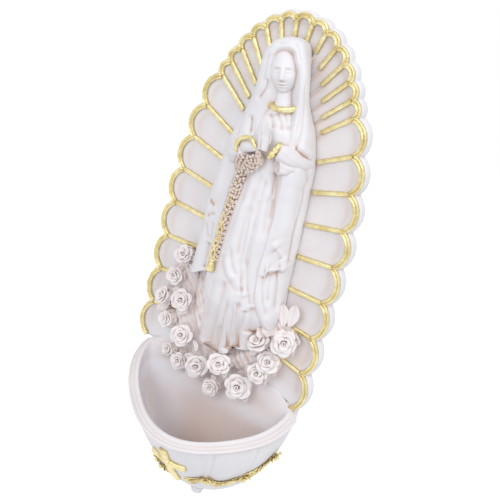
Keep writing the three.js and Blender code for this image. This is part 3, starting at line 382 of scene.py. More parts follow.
# Colours along the wash attribute: from clean resin, through the grey and pink of painted shade in folds and between
# parts, to the brown of the wash with painted shade in the deepest hollows.
WHITE_STOPS = [
    (0.0, (0.865, 0.862, 0.885)),
    (0.3, (0.83, 0.785, 0.785)),
    (0.6, (0.76, 0.64, 0.58)),
    (1.0, (0.52, 0.37, 0.3)),
]
ROSE_STOPS = [
    (0.0, (0.93, 0.89, 0.88)),
    (0.25, (0.92, 0.82, 0.79)),
    (0.55, (0.8, 0.62, 0.55)),
    (1.0, (0.3, 0.18, 0.14)),
]
BEAD_STOPS = [
    (0.0, (0.8, 0.7, 0.62)),
    (0.4, (0.66, 0.5, 0.42)),
    (1.0, (0.24, 0.15, 0.12)),
]
white_resin = resin_finish("white_resin_washed_and_shaded", WHITE_STOPS, 900)
rose_resin = resin_finish("rose_resin_washed_and_shaded", ROSE_STOPS, 1100)
bead_resin = resin_finish("bead_resin_washed_and_shaded", BEAD_STOPS, 1300)
gold_paint = gold_finish()

finished = []


# Distance within which another surface casts painted shade on a piece.
SHADE_REACH = 4.5


def finish_piece(piece, finish, nodes, wash_and_shade_gain=1.0, reach=SHADE_REACH, extra_wash_and_shade=None):
    """Gives a piece its finish and lets it stand for its solids.

    The first number says how strongly the wash and the painted shade of hollows settle on it, reach how near another
    surface must be to cast painted shade on it, and the last function gives where more wash, painted shade or painted
    light is laid on it."""
    piece.data.materials.clear()
    piece.data.materials.append(finish)
    for face in piece.data.polygons:
        face.material_index = 0
    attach(piece, "root")
    if nodes:
        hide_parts(*nodes)
    finished.append((piece, wash_and_shade_gain, reach, extra_wash_and_shade))
    return piece


# ---------------------------------------------------------------- scalloped plate

OVAL_HALF_WIDTH = 40.5
OVAL_RISE = 91.0
SPRING_Z = -10.0
OVAL_FULLNESS = 0.96
SMALL_SCALLOPS = 13
SMALL_PITCH = 7.1
SMALL_RISE = 2.5
LARGE_SCALLOPS = 8
LARGE_GROWTH = 0.03
LARGE_RISE = 4.5
BOWL_CENTRE_X = 2.9
BOWL_HALF_WIDTH = 42.0
BOWL_WIDTH_POWER = 0.6
BOWL_REACH = 42.0
BOWL_REACH_POWER = 0.62
BOWL_RIM_Z = -80.0
BORDER_END_Z = BOWL_RIM_Z + 0.8
BOWL_RIM_DIP = 0.4
BOWL_DEPTH = 64.0
BOWL_WALL = 4.5
BOWL_FLOOR = 15.0
BOWL_LOWEST_SHARE = 0.97
RIM_HEIGHT = 6.0
RIM_STEP = 1.6
PLATE_EDGE_MARGIN = 2.1


def oval_line():
    turn = np.linspace(0, math.pi / 2, 401)
    x = OVAL_HALF_WIDTH * np.sin(turn) ** OVAL_FULLNESS
    z = SPRING_Z + OVAL_RISE * np.clip(np.cos(turn), 0, 1) ** OVAL_FULLNESS
    length = np.concatenate([[0], np.cumsum(np.hypot(np.diff(x), np.diff(z)))])
    return length, x, z


OVAL = oval_line()
OVAL_LENGTH = OVAL[0][-1]


def outline_point(length):
    if length >= OVAL_LENGTH:
        return np.array([OVAL_HALF_WIDTH, SPRING_Z - (length - OVAL_LENGTH)])
    return np.array([np.interp(length, OVAL[0], OVAL[1]), np.interp(length, OVAL[0], OVAL[2])])


def right_cusps():
    per_side = (SMALL_SCALLOPS + 1) // 2
    lengths = [(i + 0.5) * SMALL_PITCH for i in range(per_side)]
    end = OVAL_LENGTH + SPRING_Z - BORDER_END_Z
    shares = np.array([1 + LARGE_GROWTH * i for i in range(LARGE_SCALLOPS)])
    lengths += list(lengths[-1] + np.cumsum(shares) * (end - lengths[-1]) / shares.sum())
    return [outline_point(length) for length in lengths]


CUSPS_RIGHT = right_cusps()
CUSPS_LEFT = [cusp * (-1, 1) for cusp in CUSPS_RIGHT]


def scallop_arcs():
    cusps = [*reversed(CUSPS_RIGHT), *CUSPS_LEFT]
    arcs = []
    for i, (start, end) in enumerate(zip(cusps, cusps[1:])):
        small = LARGE_SCALLOPS <= i < LARGE_SCALLOPS + SMALL_SCALLOPS
        rise = SMALL_RISE if small else LARGE_RISE
        half = np.linalg.norm(end - start) / 2
        radius = (half * half + rise * rise) / (2 * rise)
        along = (end - start) / (2 * half)
        outward = np.array([along[1], -along[0]])
        centre = (start + end) / 2 + outward * (rise - radius)
        arcs.append({"start": start, "end": end, "centre": centre, "radius": radius, "small": small})
    return arcs


SCALLOPS = scallop_arcs()


def meeting_point(one, other, margin):
    gap = np.linalg.norm(other["centre"] - one["centre"])
    reach_one = one["radius"] + margin
    reach_other = other["radius"] + margin
    along = (gap**2 + reach_one**2 - reach_other**2) / (2 * gap)
    off = math.sqrt(max(reach_one**2 - along**2, 0))
    direction = (other["centre"] - one["centre"]) / gap
    outward = np.array([direction[1], -direction[0]])
    return one["centre"] + direction * along + outward * off


def arc_points(scallop, start, end, margin, steps):
    first = math.atan2(*(start - scallop["centre"])[::-1])
    last = math.atan2(*(end - scallop["centre"])[::-1])
    if last < first:
        last += 2 * math.pi
    angles = np.linspace(first, last, steps + 1)
    reach = scallop["radius"] + margin
    return scallop["centre"] + reach * np.column_stack([np.cos(angles), np.sin(angles)])


ARC_STEPS = 18
FOOT_STEPS = 60


def scalloped_line(margin):
    points = []
    for i, scallop in enumerate(SCALLOPS):
        start = scallop["start"] + (margin, 0) if i == 0 else meeting_point(SCALLOPS[i - 1], scallop, margin)
        last = i == len(SCALLOPS) - 1
        end = scallop["end"] - (margin, 0) if last else meeting_point(scallop, SCALLOPS[i + 1], margin)
        points.append(arc_points(scallop, start, end, margin, ARC_STEPS)[: None if last else -1])
    return np.vstack(points)


def bowl_half_width(share):
    return BOWL_HALF_WIDTH * (1 - np.clip(share, 0, 1) ** 2) ** BOWL_WIDTH_POWER


def bowl_reach(share):
    return BOWL_REACH * (1 - np.clip(share, 0, 1)) ** BOWL_REACH_POWER


def plate_line(margin):
    """Outline of the plate at a margin outside its cusps, closed below by the back of the bowl."""
    turn = np.linspace(0, math.pi, FOOT_STEPS + 1)
    share = np.sin(turn)
    inset = PLATE_EDGE_MARGIN - margin
    half = np.maximum(bowl_half_width(np.minimum(share, BOWL_LOWEST_SHARE)) - RIM_STEP - inset, 2)
    side = np.where(turn <= math.pi / 2, -1, 1) * smooth_step(np.abs(np.cos(turn)) * 6)
    foot = np.column_stack([BOWL_CENTRE_X + side * half, BOWL_RIM_Z - BOWL_DEPTH * share + inset])
    line = np.vstack([scalloped_line(margin), foot])
    return np.vstack([line, line[:1]])


def ray_aim(z):
    """Height at which a ray from a cusp points on the middle line."""
    return z * 0.75 - 6 - 7 * smooth_step((z - 20) / 40)


def plate_painted_shade(points, normals):
    """Painted shade on the plate beside the figure, on its right, and round the roses."""
    x, z = points[:, 0], points[:, 2]
    edge = np.interp(z, [-20, 0, 20, 35, 45, 55, 65], [25.5, 24.5, 23, 20.5, 17, 14, 12.5])
    # Painted shade: the plate is darkened along the figure's right edge, where its shadow falls.
    beside = np.exp(-((np.maximum(x - edge, 0) / 2.4) ** 2)) * smooth_step((72 - z) / 6) * smooth_step((z + 25) / 8)
    blooms = sum(
        np.exp(-(((x - middle) / 8) ** 2) - ((z - height) / 9) ** 2)
        for middle, height in ((-17, -33), (-13, -44), (-20, -57), (27, -38), (34, -58))
    )
    return np.where(points[:, 1] < -4.5, 0.16 * beside * (x > 0) + 0.28 * np.clip(blooms, 0, 1), 0)


KEYHOLE_Z = 42
KEYHOLE_RADIUS = 4.5
KEYHOLE_SLOT_WIDTH = 4.4
KEYHOLE_SLOT_LENGTH = 11
KEYHOLE_DEPTH = 4
# Distance inside the evened outline at which the plate's flat back begins
BACK_INSET = 5


def keyhole_line(around):
    """Outline of the keyhole hanger, a hole with a slot above it, in step with a line round it."""
    centre = np.array([0.0, KEYHOLE_Z + 2.0])
    out = around - centre
    out /= np.linalg.norm(out, axis=1, keepdims=True)
    reach = np.zeros(len(out))
    for step in np.arange(0, KEYHOLE_SLOT_LENGTH + KEYHOLE_RADIUS, 0.05):
        spot = centre + out * step
        height = np.clip(spot[:, 1], KEYHOLE_Z, KEYHOLE_Z + KEYHOLE_SLOT_LENGTH)
        in_slot = np.hypot(spot[:, 0], spot[:, 1] - height) < KEYHOLE_SLOT_WIDTH / 2
        in_hole = np.hypot(spot[:, 0], spot[:, 1] - KEYHOLE_Z) < KEYHOLE_RADIUS
        reach[in_slot | in_hole] = step
    return centre + out * reach[:, None]


def evened_line(line, inset):
    """A closed scalloped line, evened out over the length of a scallop and moved inwards."""
    count = len(line)
    for _ in range(2):
        longer = np.vstack([line[-ARC_STEPS:], line, line[:ARC_STEPS]])
        sums = np.vstack([np.zeros(2), np.cumsum(longer, axis=0)])
        first = ARC_STEPS - ARC_STEPS // 2 + np.arange(count)
        line = (sums[first + ARC_STEPS] - sums[first]) / ARC_STEPS
    run = np.roll(line, -3, axis=0) - np.roll(line, 3, axis=0)
    inwards = np.column_stack([-run[:, 1], run[:, 0]]) / np.linalg.norm(run, axis=1, keepdims=True)
    inwards *= np.sign(((line.mean(axis=0) - line) * inwards).sum())
    line = line + inwards * inset
    return np.vstack([line, line[:1]])


def back_plate():
    inner = plate_line(0)
    aim = np.column_stack([np.zeros(len(inner)), ray_aim(inner[:, 1])])
    count = len(SCALLOPS) * ARC_STEPS
    phase = np.zeros(len(inner))
    phase[:count] = np.tile(np.arange(ARC_STEPS) / ARC_STEPS, len(SCALLOPS))
    dished = np.zeros(len(inner))
    steps = np.arange(count + 1)
    dished[: count + 1] = 0.1 + 0.9 * smooth_step(np.minimum(steps, count - steps) / (0.5 * ARC_STEPS))
    rim = np.abs(2 * phase - 1)
    rows = []

    def row(flat, y):
        rows.append(np.column_stack([flat[:, 0], np.broadcast_to(y, len(flat)), flat[:, 1]]))

    around = evened_line(inner[:-1], BACK_INSET)
    mouth = keyhole_line(around)
    row(np.broadcast_to(mouth.mean(axis=0), mouth.shape), -KEYHOLE_DEPTH)
    row(mouth, -KEYHOLE_DEPTH)
    row(mouth, 0.0)
    row(around, 0.0)
    row(inner + (around - inner) * 0.1, 0.0)
    edge = [
        (0.9, 0.0), (1.2, -0.15), (1.6, -0.7), (1.95, -1.5), (2.1, -2.5), (2.08, -3.5), (1.98, -4.4), (1.8, -5.2),
        (1.55, -5.75), (1.2, -6.0),
    ]
    for margin, y in edge:
        row(plate_line(margin), y)
    for t in (0.0, 0.02, 0.04, 0.06, 0.08, 0.1, 0.13, 0.16, 0.2, 0.25, 0.3, 0.36, 0.43, 0.5, 0.6, 0.75, 0.9):
        near_border = np.clip(1 - t / 0.11, 0, 1) ** 2
        near_ray = np.clip((rim - 0.45) / 0.55, 0, 1) ** 2
        fade = 1 - smooth_step((t - 0.3) / 0.4)
        swell = np.maximum(near_border, near_ray) * fade * dished
        hollow = (1 - rim**2) * smooth_step(t / 0.12) * fade * dished
        row(inner + (aim - inner) * t, PLATE_FRONT - 0.3 * swell + 0.75 * hollow)
    row(np.broadcast_to((0.0, -20.0), inner.shape), PLATE_FRONT)
    plate = close_seams(sheet_of("plate", rows))
    pick(plate)
    bpy.ops.object.shade_smooth_by_angle(angle=math.radians(50))
    return finish_piece(plate, white_resin, ["back_plate"], 0.4, extra_wash_and_shade=plate_painted_shade)


back_plate()


# ---------------------------------------------------------------- gold border and rays

BORDER_HALF = 1.25
BORDER_SECTION = [
    (-1.0, 0.0), (-1.0, 0.8), (-0.92, 1.2), (-0.76, 1.45), (-0.56, 1.5), (-0.38, 1.36), (-0.2, 1.08), (-0.06, 0.96),
    (0.06, 0.96), (0.2, 1.08), (0.38, 1.36), (0.56, 1.5), (0.76, 1.45), (0.92, 1.2), (1.0, 0.8), (1.0, 0.0),
]


def gold_border():
    arcs = []
    for number, scallop in enumerate(SCALLOPS):
        steps = 26
        lines = [arc_points(scallop, scallop["start"], scallop["end"], BORDER_HALF * across, steps)
                 for across, _ in BORDER_SECTION]
        rings = []
        for k in range(steps + 1):
            wander = 1 + 0.05 * math.sin(2.1 * k + 3.7 * number) + 0.03 * math.sin(5.3 * k + number)
            ring = [(line[k, 0], PLATE_FRONT + 0.2 - (height + 0.3) * (wander if height else 1), line[k, 1])
                    for line, (_, height) in zip(lines, BORDER_SECTION)]
            rings.append(ring)
        arcs.append(loft_of("border_arc", rings))
    border = joined("border", arcs)
    return finish_piece(border, gold_paint, ["border_moulding"], 0.4, 1.2)


gold_border()

RAY_WIDTH = 2.05
RAY_SECTION = [(-1.0, 0.0), (-0.98, 0.62), (-0.78, 0.98), (-0.4, 1.12), (0.4, 1.12), (0.78, 0.98), (0.98, 0.62), (1.0, 0.0)]


def ray_run(cusp):
    aim = np.array([0, ray_aim(cusp[1])])
    direction = (aim - cusp) / np.linalg.norm(aim - cusp)
    length = 0.0
    while length <= OVAL_HALF_WIDTH:
        x, z = cusp + direction * length
        if ((x - 1) / 22.8) ** 2 + (max(z - SPRING_Z, 0) / 84) ** 2 <= 1:
            break
        length += 0.1
    return direction, max(length, 2.2 + 3 * RAY_WIDTH)


def gold_ray(name, cusp, number):
    direction, length = ray_run(cusp)
    across = np.array([direction[1], -direction[0]])
    rings = []
    stations = np.concatenate([np.linspace(-1.2, length - 1.2, 14), length - np.array([0.7, 0.35, 0.12, 0.0])])
    tip = np.concatenate([np.ones(14), [0.99, 0.93, 0.8, 0.5]])
    for k, (run, fullness) in enumerate(zip(stations, tip)):
        middle = cusp + direction * run
        half = RAY_WIDTH / 2 * (1 + 0.06 * math.sin(1.7 * k + number)) * (0.6 + 0.4 * fullness)
        ring = []
        for side, height in RAY_SECTION:
            spot = middle + across * half * side
            lift = (height * fullness * (1 + 0.07 * math.sin(2.3 * k + 2 * number)) + 0.3) if height else 0.0
            ring.append((spot[0], PLATE_FRONT + 0.2 - lift, spot[1]))
        rings.append(ring)
    return finish_piece(loft_of(name.replace("ray", "gold_ray"), rings), gold_paint, [name], 0.35, 1.6)


for index in range(len(CUSPS_RIGHT) - 1):
    gold_ray(f"ray_right_{index + 1:02d}", CUSPS_RIGHT[index], index)
    gold_ray(f"ray_left_{index + 1:02d}", CUSPS_LEFT[index], index + 20)


# ---------------------------------------------------------------- bowl

RIB_ANGLES = (-58, -29, 29, 58)
RIM_BEADS = [(1.05, 3.35, 1.15, -80, 62), (2.5, 2.0, 1.05, -15, 66), (4.1, 1.15, 1.15, -5, 160)]
BOWL_ANGLES = np.radians(np.linspace(-90, 90, 241))
BACK_STEPS = 44


def lobe_at(turn):
    """The bowl swells and draws in a little on its way round."""
    return 1 + 0.025 * np.cos(4.5 * turn)


def bowl_ring(share, inset, back_y, back_z=None, rib=0.0, rounding=0):
    half = bowl_half_width(share) - inset
    reach = bowl_reach(share) - inset
    turn = BOWL_ANGLES
    bump = sum(np.exp(-((np.degrees(turn) - rib_angle) / 1.5) ** 2) for rib_angle in RIB_ANGLES)
    out = lobe_at(turn) * (1 + rib * bump / BOWL_REACH)
    front_back = max(back_y, -8.9)
    y = front_back - (reach + front_back - SEAT_Y) * np.cos(turn) * out
    x = BOWL_CENTRE_X + half * np.sin(turn) * out
    level = BOWL_RIM_Z - BOWL_DEPTH * share
    z = level + BOWL_RIM_DIP * (1 - share) * (y - SEAT_Y)
    at_wall = smooth_step((np.abs(np.degrees(turn)) - 58) / 32) * max(0, 1 - share / 0.16)
    z += 1.4 * at_wall
    x += 1.2 * at_wall * np.sign(turn) * (turn < 0)
    front = np.column_stack([x, y, z])
    t = np.linspace(0, 1, BACK_STEPS + 2)[1:-1, None]
    back = front[-1] + (front[0] - front[-1]) * t
    lift = smooth_step(np.minimum(t[:, 0], 1 - t[:, 0]) / 0.16)
    back[:, 1] = front[-1, 1] + (back_y - front[-1, 1]) * lift
    if back_z is not None:
        back[:, 2] = front[-1, 2] + (back_z - front[-1, 2]) * lift
    ring = np.vstack([front, back])
    near = np.concatenate([smooth_step((np.abs(np.degrees(turn)) - 48) / 25), smooth_step((np.abs(t[:, 0] - 0.5) - 0.1) / 0.2)])
    for _ in range(rounding):
        middle = (np.roll(ring, 1, axis=0) + np.roll(ring, -1, axis=0)) / 2
        ring = ring + (middle - ring) * near[:, None] * 0.6
    return ring


def basin_wash_and_shade(points, normals):
    """Inside the basin the wash and painted shade lie deepest low down and in the middle, with the left side kept paler
    as painted light; outside, the wash lies along the ribs, and the rim band is darkened evenly.
    """
    share = np.clip((BOWL_RIM_Z - points[:, 2]) / BOWL_DEPTH, 0, 1)
    across = (points[:, 0] - BOWL_CENTRE_X) / np.maximum(bowl_half_width(share) - RIM_STEP, 1)
    out = (SEAT_Y - points[:, 1]) / np.maximum(bowl_reach(share) - RIM_STEP, 1)
    inside = smooth_step((0.97 - np.hypot(across, np.clip(out, 0, 9))) / 0.08)
    level = BOWL_RIM_Z + BOWL_RIM_DIP * (points[:, 1] - SEAT_Y)
    deep = smooth_step((level + 6 - points[:, 2]) / 22)
    # Painted light: the left of the inside is kept paler, as if lit from the right.
    middle = (1 - 0.3 * np.abs(across)) * (0.12 + 0.88 * smooth_step((across + 0.9) / 0.8))
    turned = np.degrees(np.arctan2(across, np.maximum(out, 1e-3)))
    beside = sum(np.exp(-(((np.abs(turned - angle) - 2.2) / 1.0) ** 2)) for angle in RIB_ANGLES)
    wall = smooth_step((np.hypot(across, np.clip(out, 0, 9)) - 0.9) / 0.05) * smooth_step((level - 5 - points[:, 2]) / 2)
    rim = smooth_step((points[:, 2] - level + 6) / 1.5)
    return 0.58 * inside * deep * middle + 0.3 * beside * wall + 0.3 * rim


def rim_profile():
    """Three stepped beads, from the outside of the wall up and over to the inside: (down, inset) in mm."""
    profile = [(5.3, 1.6), (4.85, 1.35)]
    for inset, down, radius, first, last in RIM_BEADS:
        for angle in np.radians(np.linspace(first, last, 9)):
            profile.append((down - radius * math.sin(angle), inset - radius * math.cos(angle)))
        if last < 90:
            profile.append((profile[-1][0] + 0.85, profile[-1][1] + 0.55))
    return profile


def bowl():
    rings = []
    for share in np.linspace(BOWL_LOWEST_SHARE, 0.095, 34):
        rings.append(bowl_ring(share, RIM_STEP, PLATE_FRONT + 0.05, rib=1.0 * smooth_step((BOWL_LOWEST_SHARE - share) * 6)))
    profile = rim_profile()
    crest = int(np.argmin([down for down, _ in profile]))
    for down, inset in profile[: crest + 1]:
        rings.append(bowl_ring(down / BOWL_DEPTH, inset, PLATE_FRONT + 0.05))
    inner = profile[crest:] + [(1.9, 5.35), (3.2, 5.6), (5.0, 5.85), (7.0, 6.0)]
    for k, (down, inset) in enumerate(inner):
        t = k / (len(inner) - 1)
        back_y = PLATE_FRONT + 0.95 - 3.6 * t**1.15
        rings.append(bowl_ring(down / BOWL_DEPTH, inset, back_y, -64 - 27 * t, rounding=round(70 * min(1, 2 * t))))
    deepest = 1 - BOWL_FLOOR / BOWL_DEPTH
    for share in np.linspace(0.15, deepest, 30):
        level = BOWL_RIM_Z - BOWL_DEPTH * share
        rings.append(bowl_ring(share, 6.1, -8.9, level - 1.0, rounding=70))
    floor = rings[-1]
    middle = floor.mean(axis=0)
    for shrink, drop in ((0.93, 1.2), (0.82, 2.1), (0.62, 2.9), (0.35, 3.3)):
        ring = middle + (floor - middle) * shrink
        ring[:, 2] -= drop
        rings.append(ring)
    body = loft_of("basin", rings)
    points = points_of(body)
    inside = (points[:, 2] < -66) & (points[:, 1] > -14) & (points[:, 1] < -6.5) & (np.abs(points[:, 0]) < 38)
    pick(body)
    body.data.vertices.foreach_set("select", inside)
    bpy.ops.object.mode_set(mode="EDIT")
    bpy.ops.mesh.vertices_smooth(factor=0.5, repeat=12)
    bpy.ops.object.mode_set(mode="OBJECT")
    clear_selection()
    bpy.ops.mesh.primitive_uv_sphere_add(segments=28, ring_count=18, radius=1)
    drop = bpy.context.object
    ball = points_of(drop) * MM
    low = bowl_ring(BOWL_LOWEST_SHARE, RIM_STEP, SEAT_Y)
    front = low[np.argmin(low[:, 1])]
    swell = 1 + 0.18 * np.cos(3 * np.pi * ball[:, 2])
    drop_points = np.column_stack([3 * ball[:, 0] * swell, 3 * ball[:, 1] * swell, 3.6 * ball[:, 2]])
    set_points(drop, drop_points + (7.4, (front[1] + SEAT_Y) / 2 - 0.6, front[2] + 1.3))
    close_seams(drop)
    whole = joined("basin", [body, drop])
    pick(whole)
    bpy.ops.object.shade_smooth_by_angle(angle=math.radians(60))
    return finish_piece(whole, white_resin, ["bowl"], 0.42, extra_wash_and_shade=basin_wash_and_shade)


bowl()


def on_bowl(angle, share, lift):
    turn = math.radians(angle)
    half = lobe_at(turn) * (bowl_half_width(share) - RIM_STEP) + lift
    reach = lobe_at(turn) * (bowl_reach(share) - RIM_STEP) + lift
    y = SEAT_Y - reach * math.cos(turn)
    z = BOWL_RIM_Z - BOWL_DEPTH * share + BOWL_RIM_DIP * (1 - share) * (y - SEAT_Y)
    return np.array([BOWL_CENTRE_X + half * math.sin(turn), y, z])


def bowl_directions(angle, share):
    ahead = on_bowl(angle + 1, share, 0) - on_bowl(angle - 1, share, 0)
    down = on_bowl(angle, share + 0.01, 0) - on_bowl(angle, share - 0.01, 0)
    ahead /= np.linalg.norm(ahead)
    down /= np.linalg.norm(down)
    out = np.cross(ahead, down)
    if out @ (on_bowl(angle, share, 1) - on_bowl(angle, share, 0)) < 0:
        out = -out
    return ahead, down, out / np.linalg.norm(out)


CROSS_HEIGHT = 32.0
CROSS_WIDTH = 19.0
CROSS_BAR = 4.0
CROSS_TOP_SHARE = 0.25
CROSS_ANGLE = -2
CROSS_ARM_SHARE = 0.36
BAR_SECTION = [(-1, -0.4), (-1, 0.6), (-0.86, 1.15), (-0.5, 1.55), (0, 1.75), (0.5, 1.55), (0.86, 1.15), (1, 0.6), (1, -0.4)]


def share_at(length):
    walked = 0.0
    share = CROSS_TOP_SHARE
    while walked < length and share < BOWL_LOWEST_SHARE:
        walked += np.linalg.norm(on_bowl(CROSS_ANGLE, share, 0) - on_bowl(CROSS_ANGLE, share + 0.005, 0))
        share += 0.005
    return share


def gold_cross():
    bars = []
    rings = []
    for t in np.concatenate([[0, 0.012, 0.03], np.linspace(0.06, 0.94, 22), [0.97, 0.988, 1]]):
        share = share_at(CROSS_HEIGHT * t)
        ahead, down, out = bowl_directions(CROSS_ANGLE, share)
        end = min(t, 1 - t)
        full = 0.75 + 0.25 * smooth_step(end / 0.04)
        flare = 1 + 0.22 * (1 - smooth_step(end / 0.13))
        spot = on_bowl(CROSS_ANGLE, share, 0.2)
        rings.append([spot + ahead * side * CROSS_BAR / 2 * flare * full + out * rise * full for side, rise in BAR_SECTION])
    bars.append(loft_of("upright", rings))
    rings = []
    arm_share = share_at(CROSS_HEIGHT * CROSS_ARM_SHARE)
    half_angle = math.degrees(math.asin(CROSS_WIDTH / 2 / bowl_half_width(arm_share)))
    for t in np.concatenate([[0, 0.02, 0.045], np.linspace(0.08, 0.92, 18), [0.955, 0.98, 1]]):
        angle = CROSS_ANGLE - half_angle + 2 * half_angle * t
        ahead, down, out = bowl_directions(angle, arm_share)
        end = min(t, 1 - t)
        full = 0.75 + 0.25 * smooth_step(end / 0.05)
        flare = 1 + 0.22 * (1 - smooth_step(end / 0.2))
        spot = on_bowl(angle, arm_share, 0.2)
        rings.append([spot + down * side * CROSS_BAR / 2 * flare * full + out * rise * full for side, rise in BAR_SECTION])
    bars.append(loft_of("arms", rings))
    return finish_piece(joined("gold_cross", bars), gold_paint, ["cross"], 1.0, 2.0)


gold_cross()


def leaf_blade(name, length, width, thickness, curl, full=0.8):
    """A pointed leaf with a sunk midrib, lying along +x and facing +z."""
    rows = []
    for v in np.linspace(-1, 1, 9):
        row = []
        for u in np.linspace(0, 1, 13):
            half = width / 2 * math.sin(math.pi * u**full) ** 0.7
            lift = thickness * (0.55 * abs(v) ** 0.8 - 0.35 * v * v) + curl * (u - 0.4) ** 2 - 0.25 * thickness * abs(v) ** 4
            row.append((length * u, half * v, lift))
        rows.append(row)
    blade = close_seams(sheet_of(name, rows))
    face_towards(blade, (0, 0, 1))
    return thicken(blade, thickness * 0.5)


def frame_of(spot, along, up):
    along = np.asarray(along, float) / np.linalg.norm(along)
    side = np.cross(up, along)
    side /= np.linalg.norm(side)
    over = np.cross(along, side)
    place = Matrix.Identity(4)
    for i in range(3):
        place[i][0] = along[i]
        place[i][1] = side[i]
        place[i][2] = over[i]
        place[i][3] = spot[i]
    return place


# Angle round the bowl, share of its depth and sag to the next knot
SWAG_KEYS = {
    "swag_right": [(12, 0.7, 0.02), (30, 0.57, 0.1), (61, 0.5, 0.02), (81, 0.31, 0.0)],
    "swag_left": [(-14, 0.8, 0.0), (-30, 0.79, 0.02), (-48, 0.8, 0.0), (-58, 0.8, 0.0)],
}


def swag(name):
    keys = SWAG_KEYS[name]
    blade = leaf_blade("swag_leaf", 3.2, 2.1, 0.9, 0.7)
    clear_selection()
    bpy.ops.mesh.primitive_uv_sphere_add(segments=12, ring_count=8, radius=1.05 * MM)
    berry = close_seams(bpy.context.object)
    parts = []
    turn = 0
    cord = []
    for (first, share_one, sag), (last, share_two, _) in zip(keys, keys[1:]):
        side = 1 if last > first else -1
        count = max(6, round(abs(last - first) / 2.1))
        for k in range(count):
            t = (k + 0.5) / count
            angle = first + (last - first) * t
            share = share_one + (share_two - share_one) * t + sag * 4 * t * (1 - t)
            ahead, down, out = bowl_directions(angle, share)
            cord.append(on_bowl(angle, share, 0.2))
            for row in (-1.6, -0.5, 0.6, 1.7, 2.8):
                turn += 1
                wag = 0.35 * math.sin(2.4 * turn)
                direction = ahead * (side if t < 0.5 else -side) + down * (0.3 * row + wag) + out * (0.1 + 0.12 * math.sin(1.7 * turn))
                spot = on_bowl(angle, share, 0.35) + down * row + out * (0.35 if abs(row) < 1 else 0.05)
                parts.append(copy_of(blade, "swag_leaf", frame_of(spot - direction * 1.4, direction, out)))
    parts.append(tube_along("swag_cord", np.array(cord), np.full(len(cord), 0.9), 10))
    for angle, share, _ in keys[1:]:
        ahead, down, out = bowl_directions(angle, share)
        spot = on_bowl(angle, share, 0.7)
        for k in range(5):
            spin = 2 * math.pi * k / 5
            direction = ahead * math.cos(spin) + down * math.sin(spin) + out * 0.35
            parts.append(copy_of(blade, "swag_leaf", frame_of(spot + direction * 0.3, direction, out)))
        parts.append(copy_of(berry, "swag_berry", Matrix.Translation(Vector(spot + out * 1.3))))
    for master in (blade, berry):
        bpy.data.objects.remove(master)
    return finish_piece(joined(name, parts), gold_paint, [name], 1.5, 2.0)


swag("swag_left")
swag("swag_right")


# ---------------------------------------------------------------- robe

ROBE_KEYS = np.array([
    (-62, 6.5, 16, 9.6), (-40, 5.6, 15.5, 13.5), (-10, 4.8, 13.5, 14.5), (14, 4.6, 11, 13.5), (24, 4.6, 10.4, 13),
    (36, 5, 11, 13), (43, 5, 9.8, 11.4), (48, 4.8, 6.8, 9.4),
], float)
ROBE_BACK = -10.6


def robe_section(z):
    return [np.interp(z, ROBE_KEYS[:, 0], ROBE_KEYS[:, i]) for i in (1, 2, 3)]


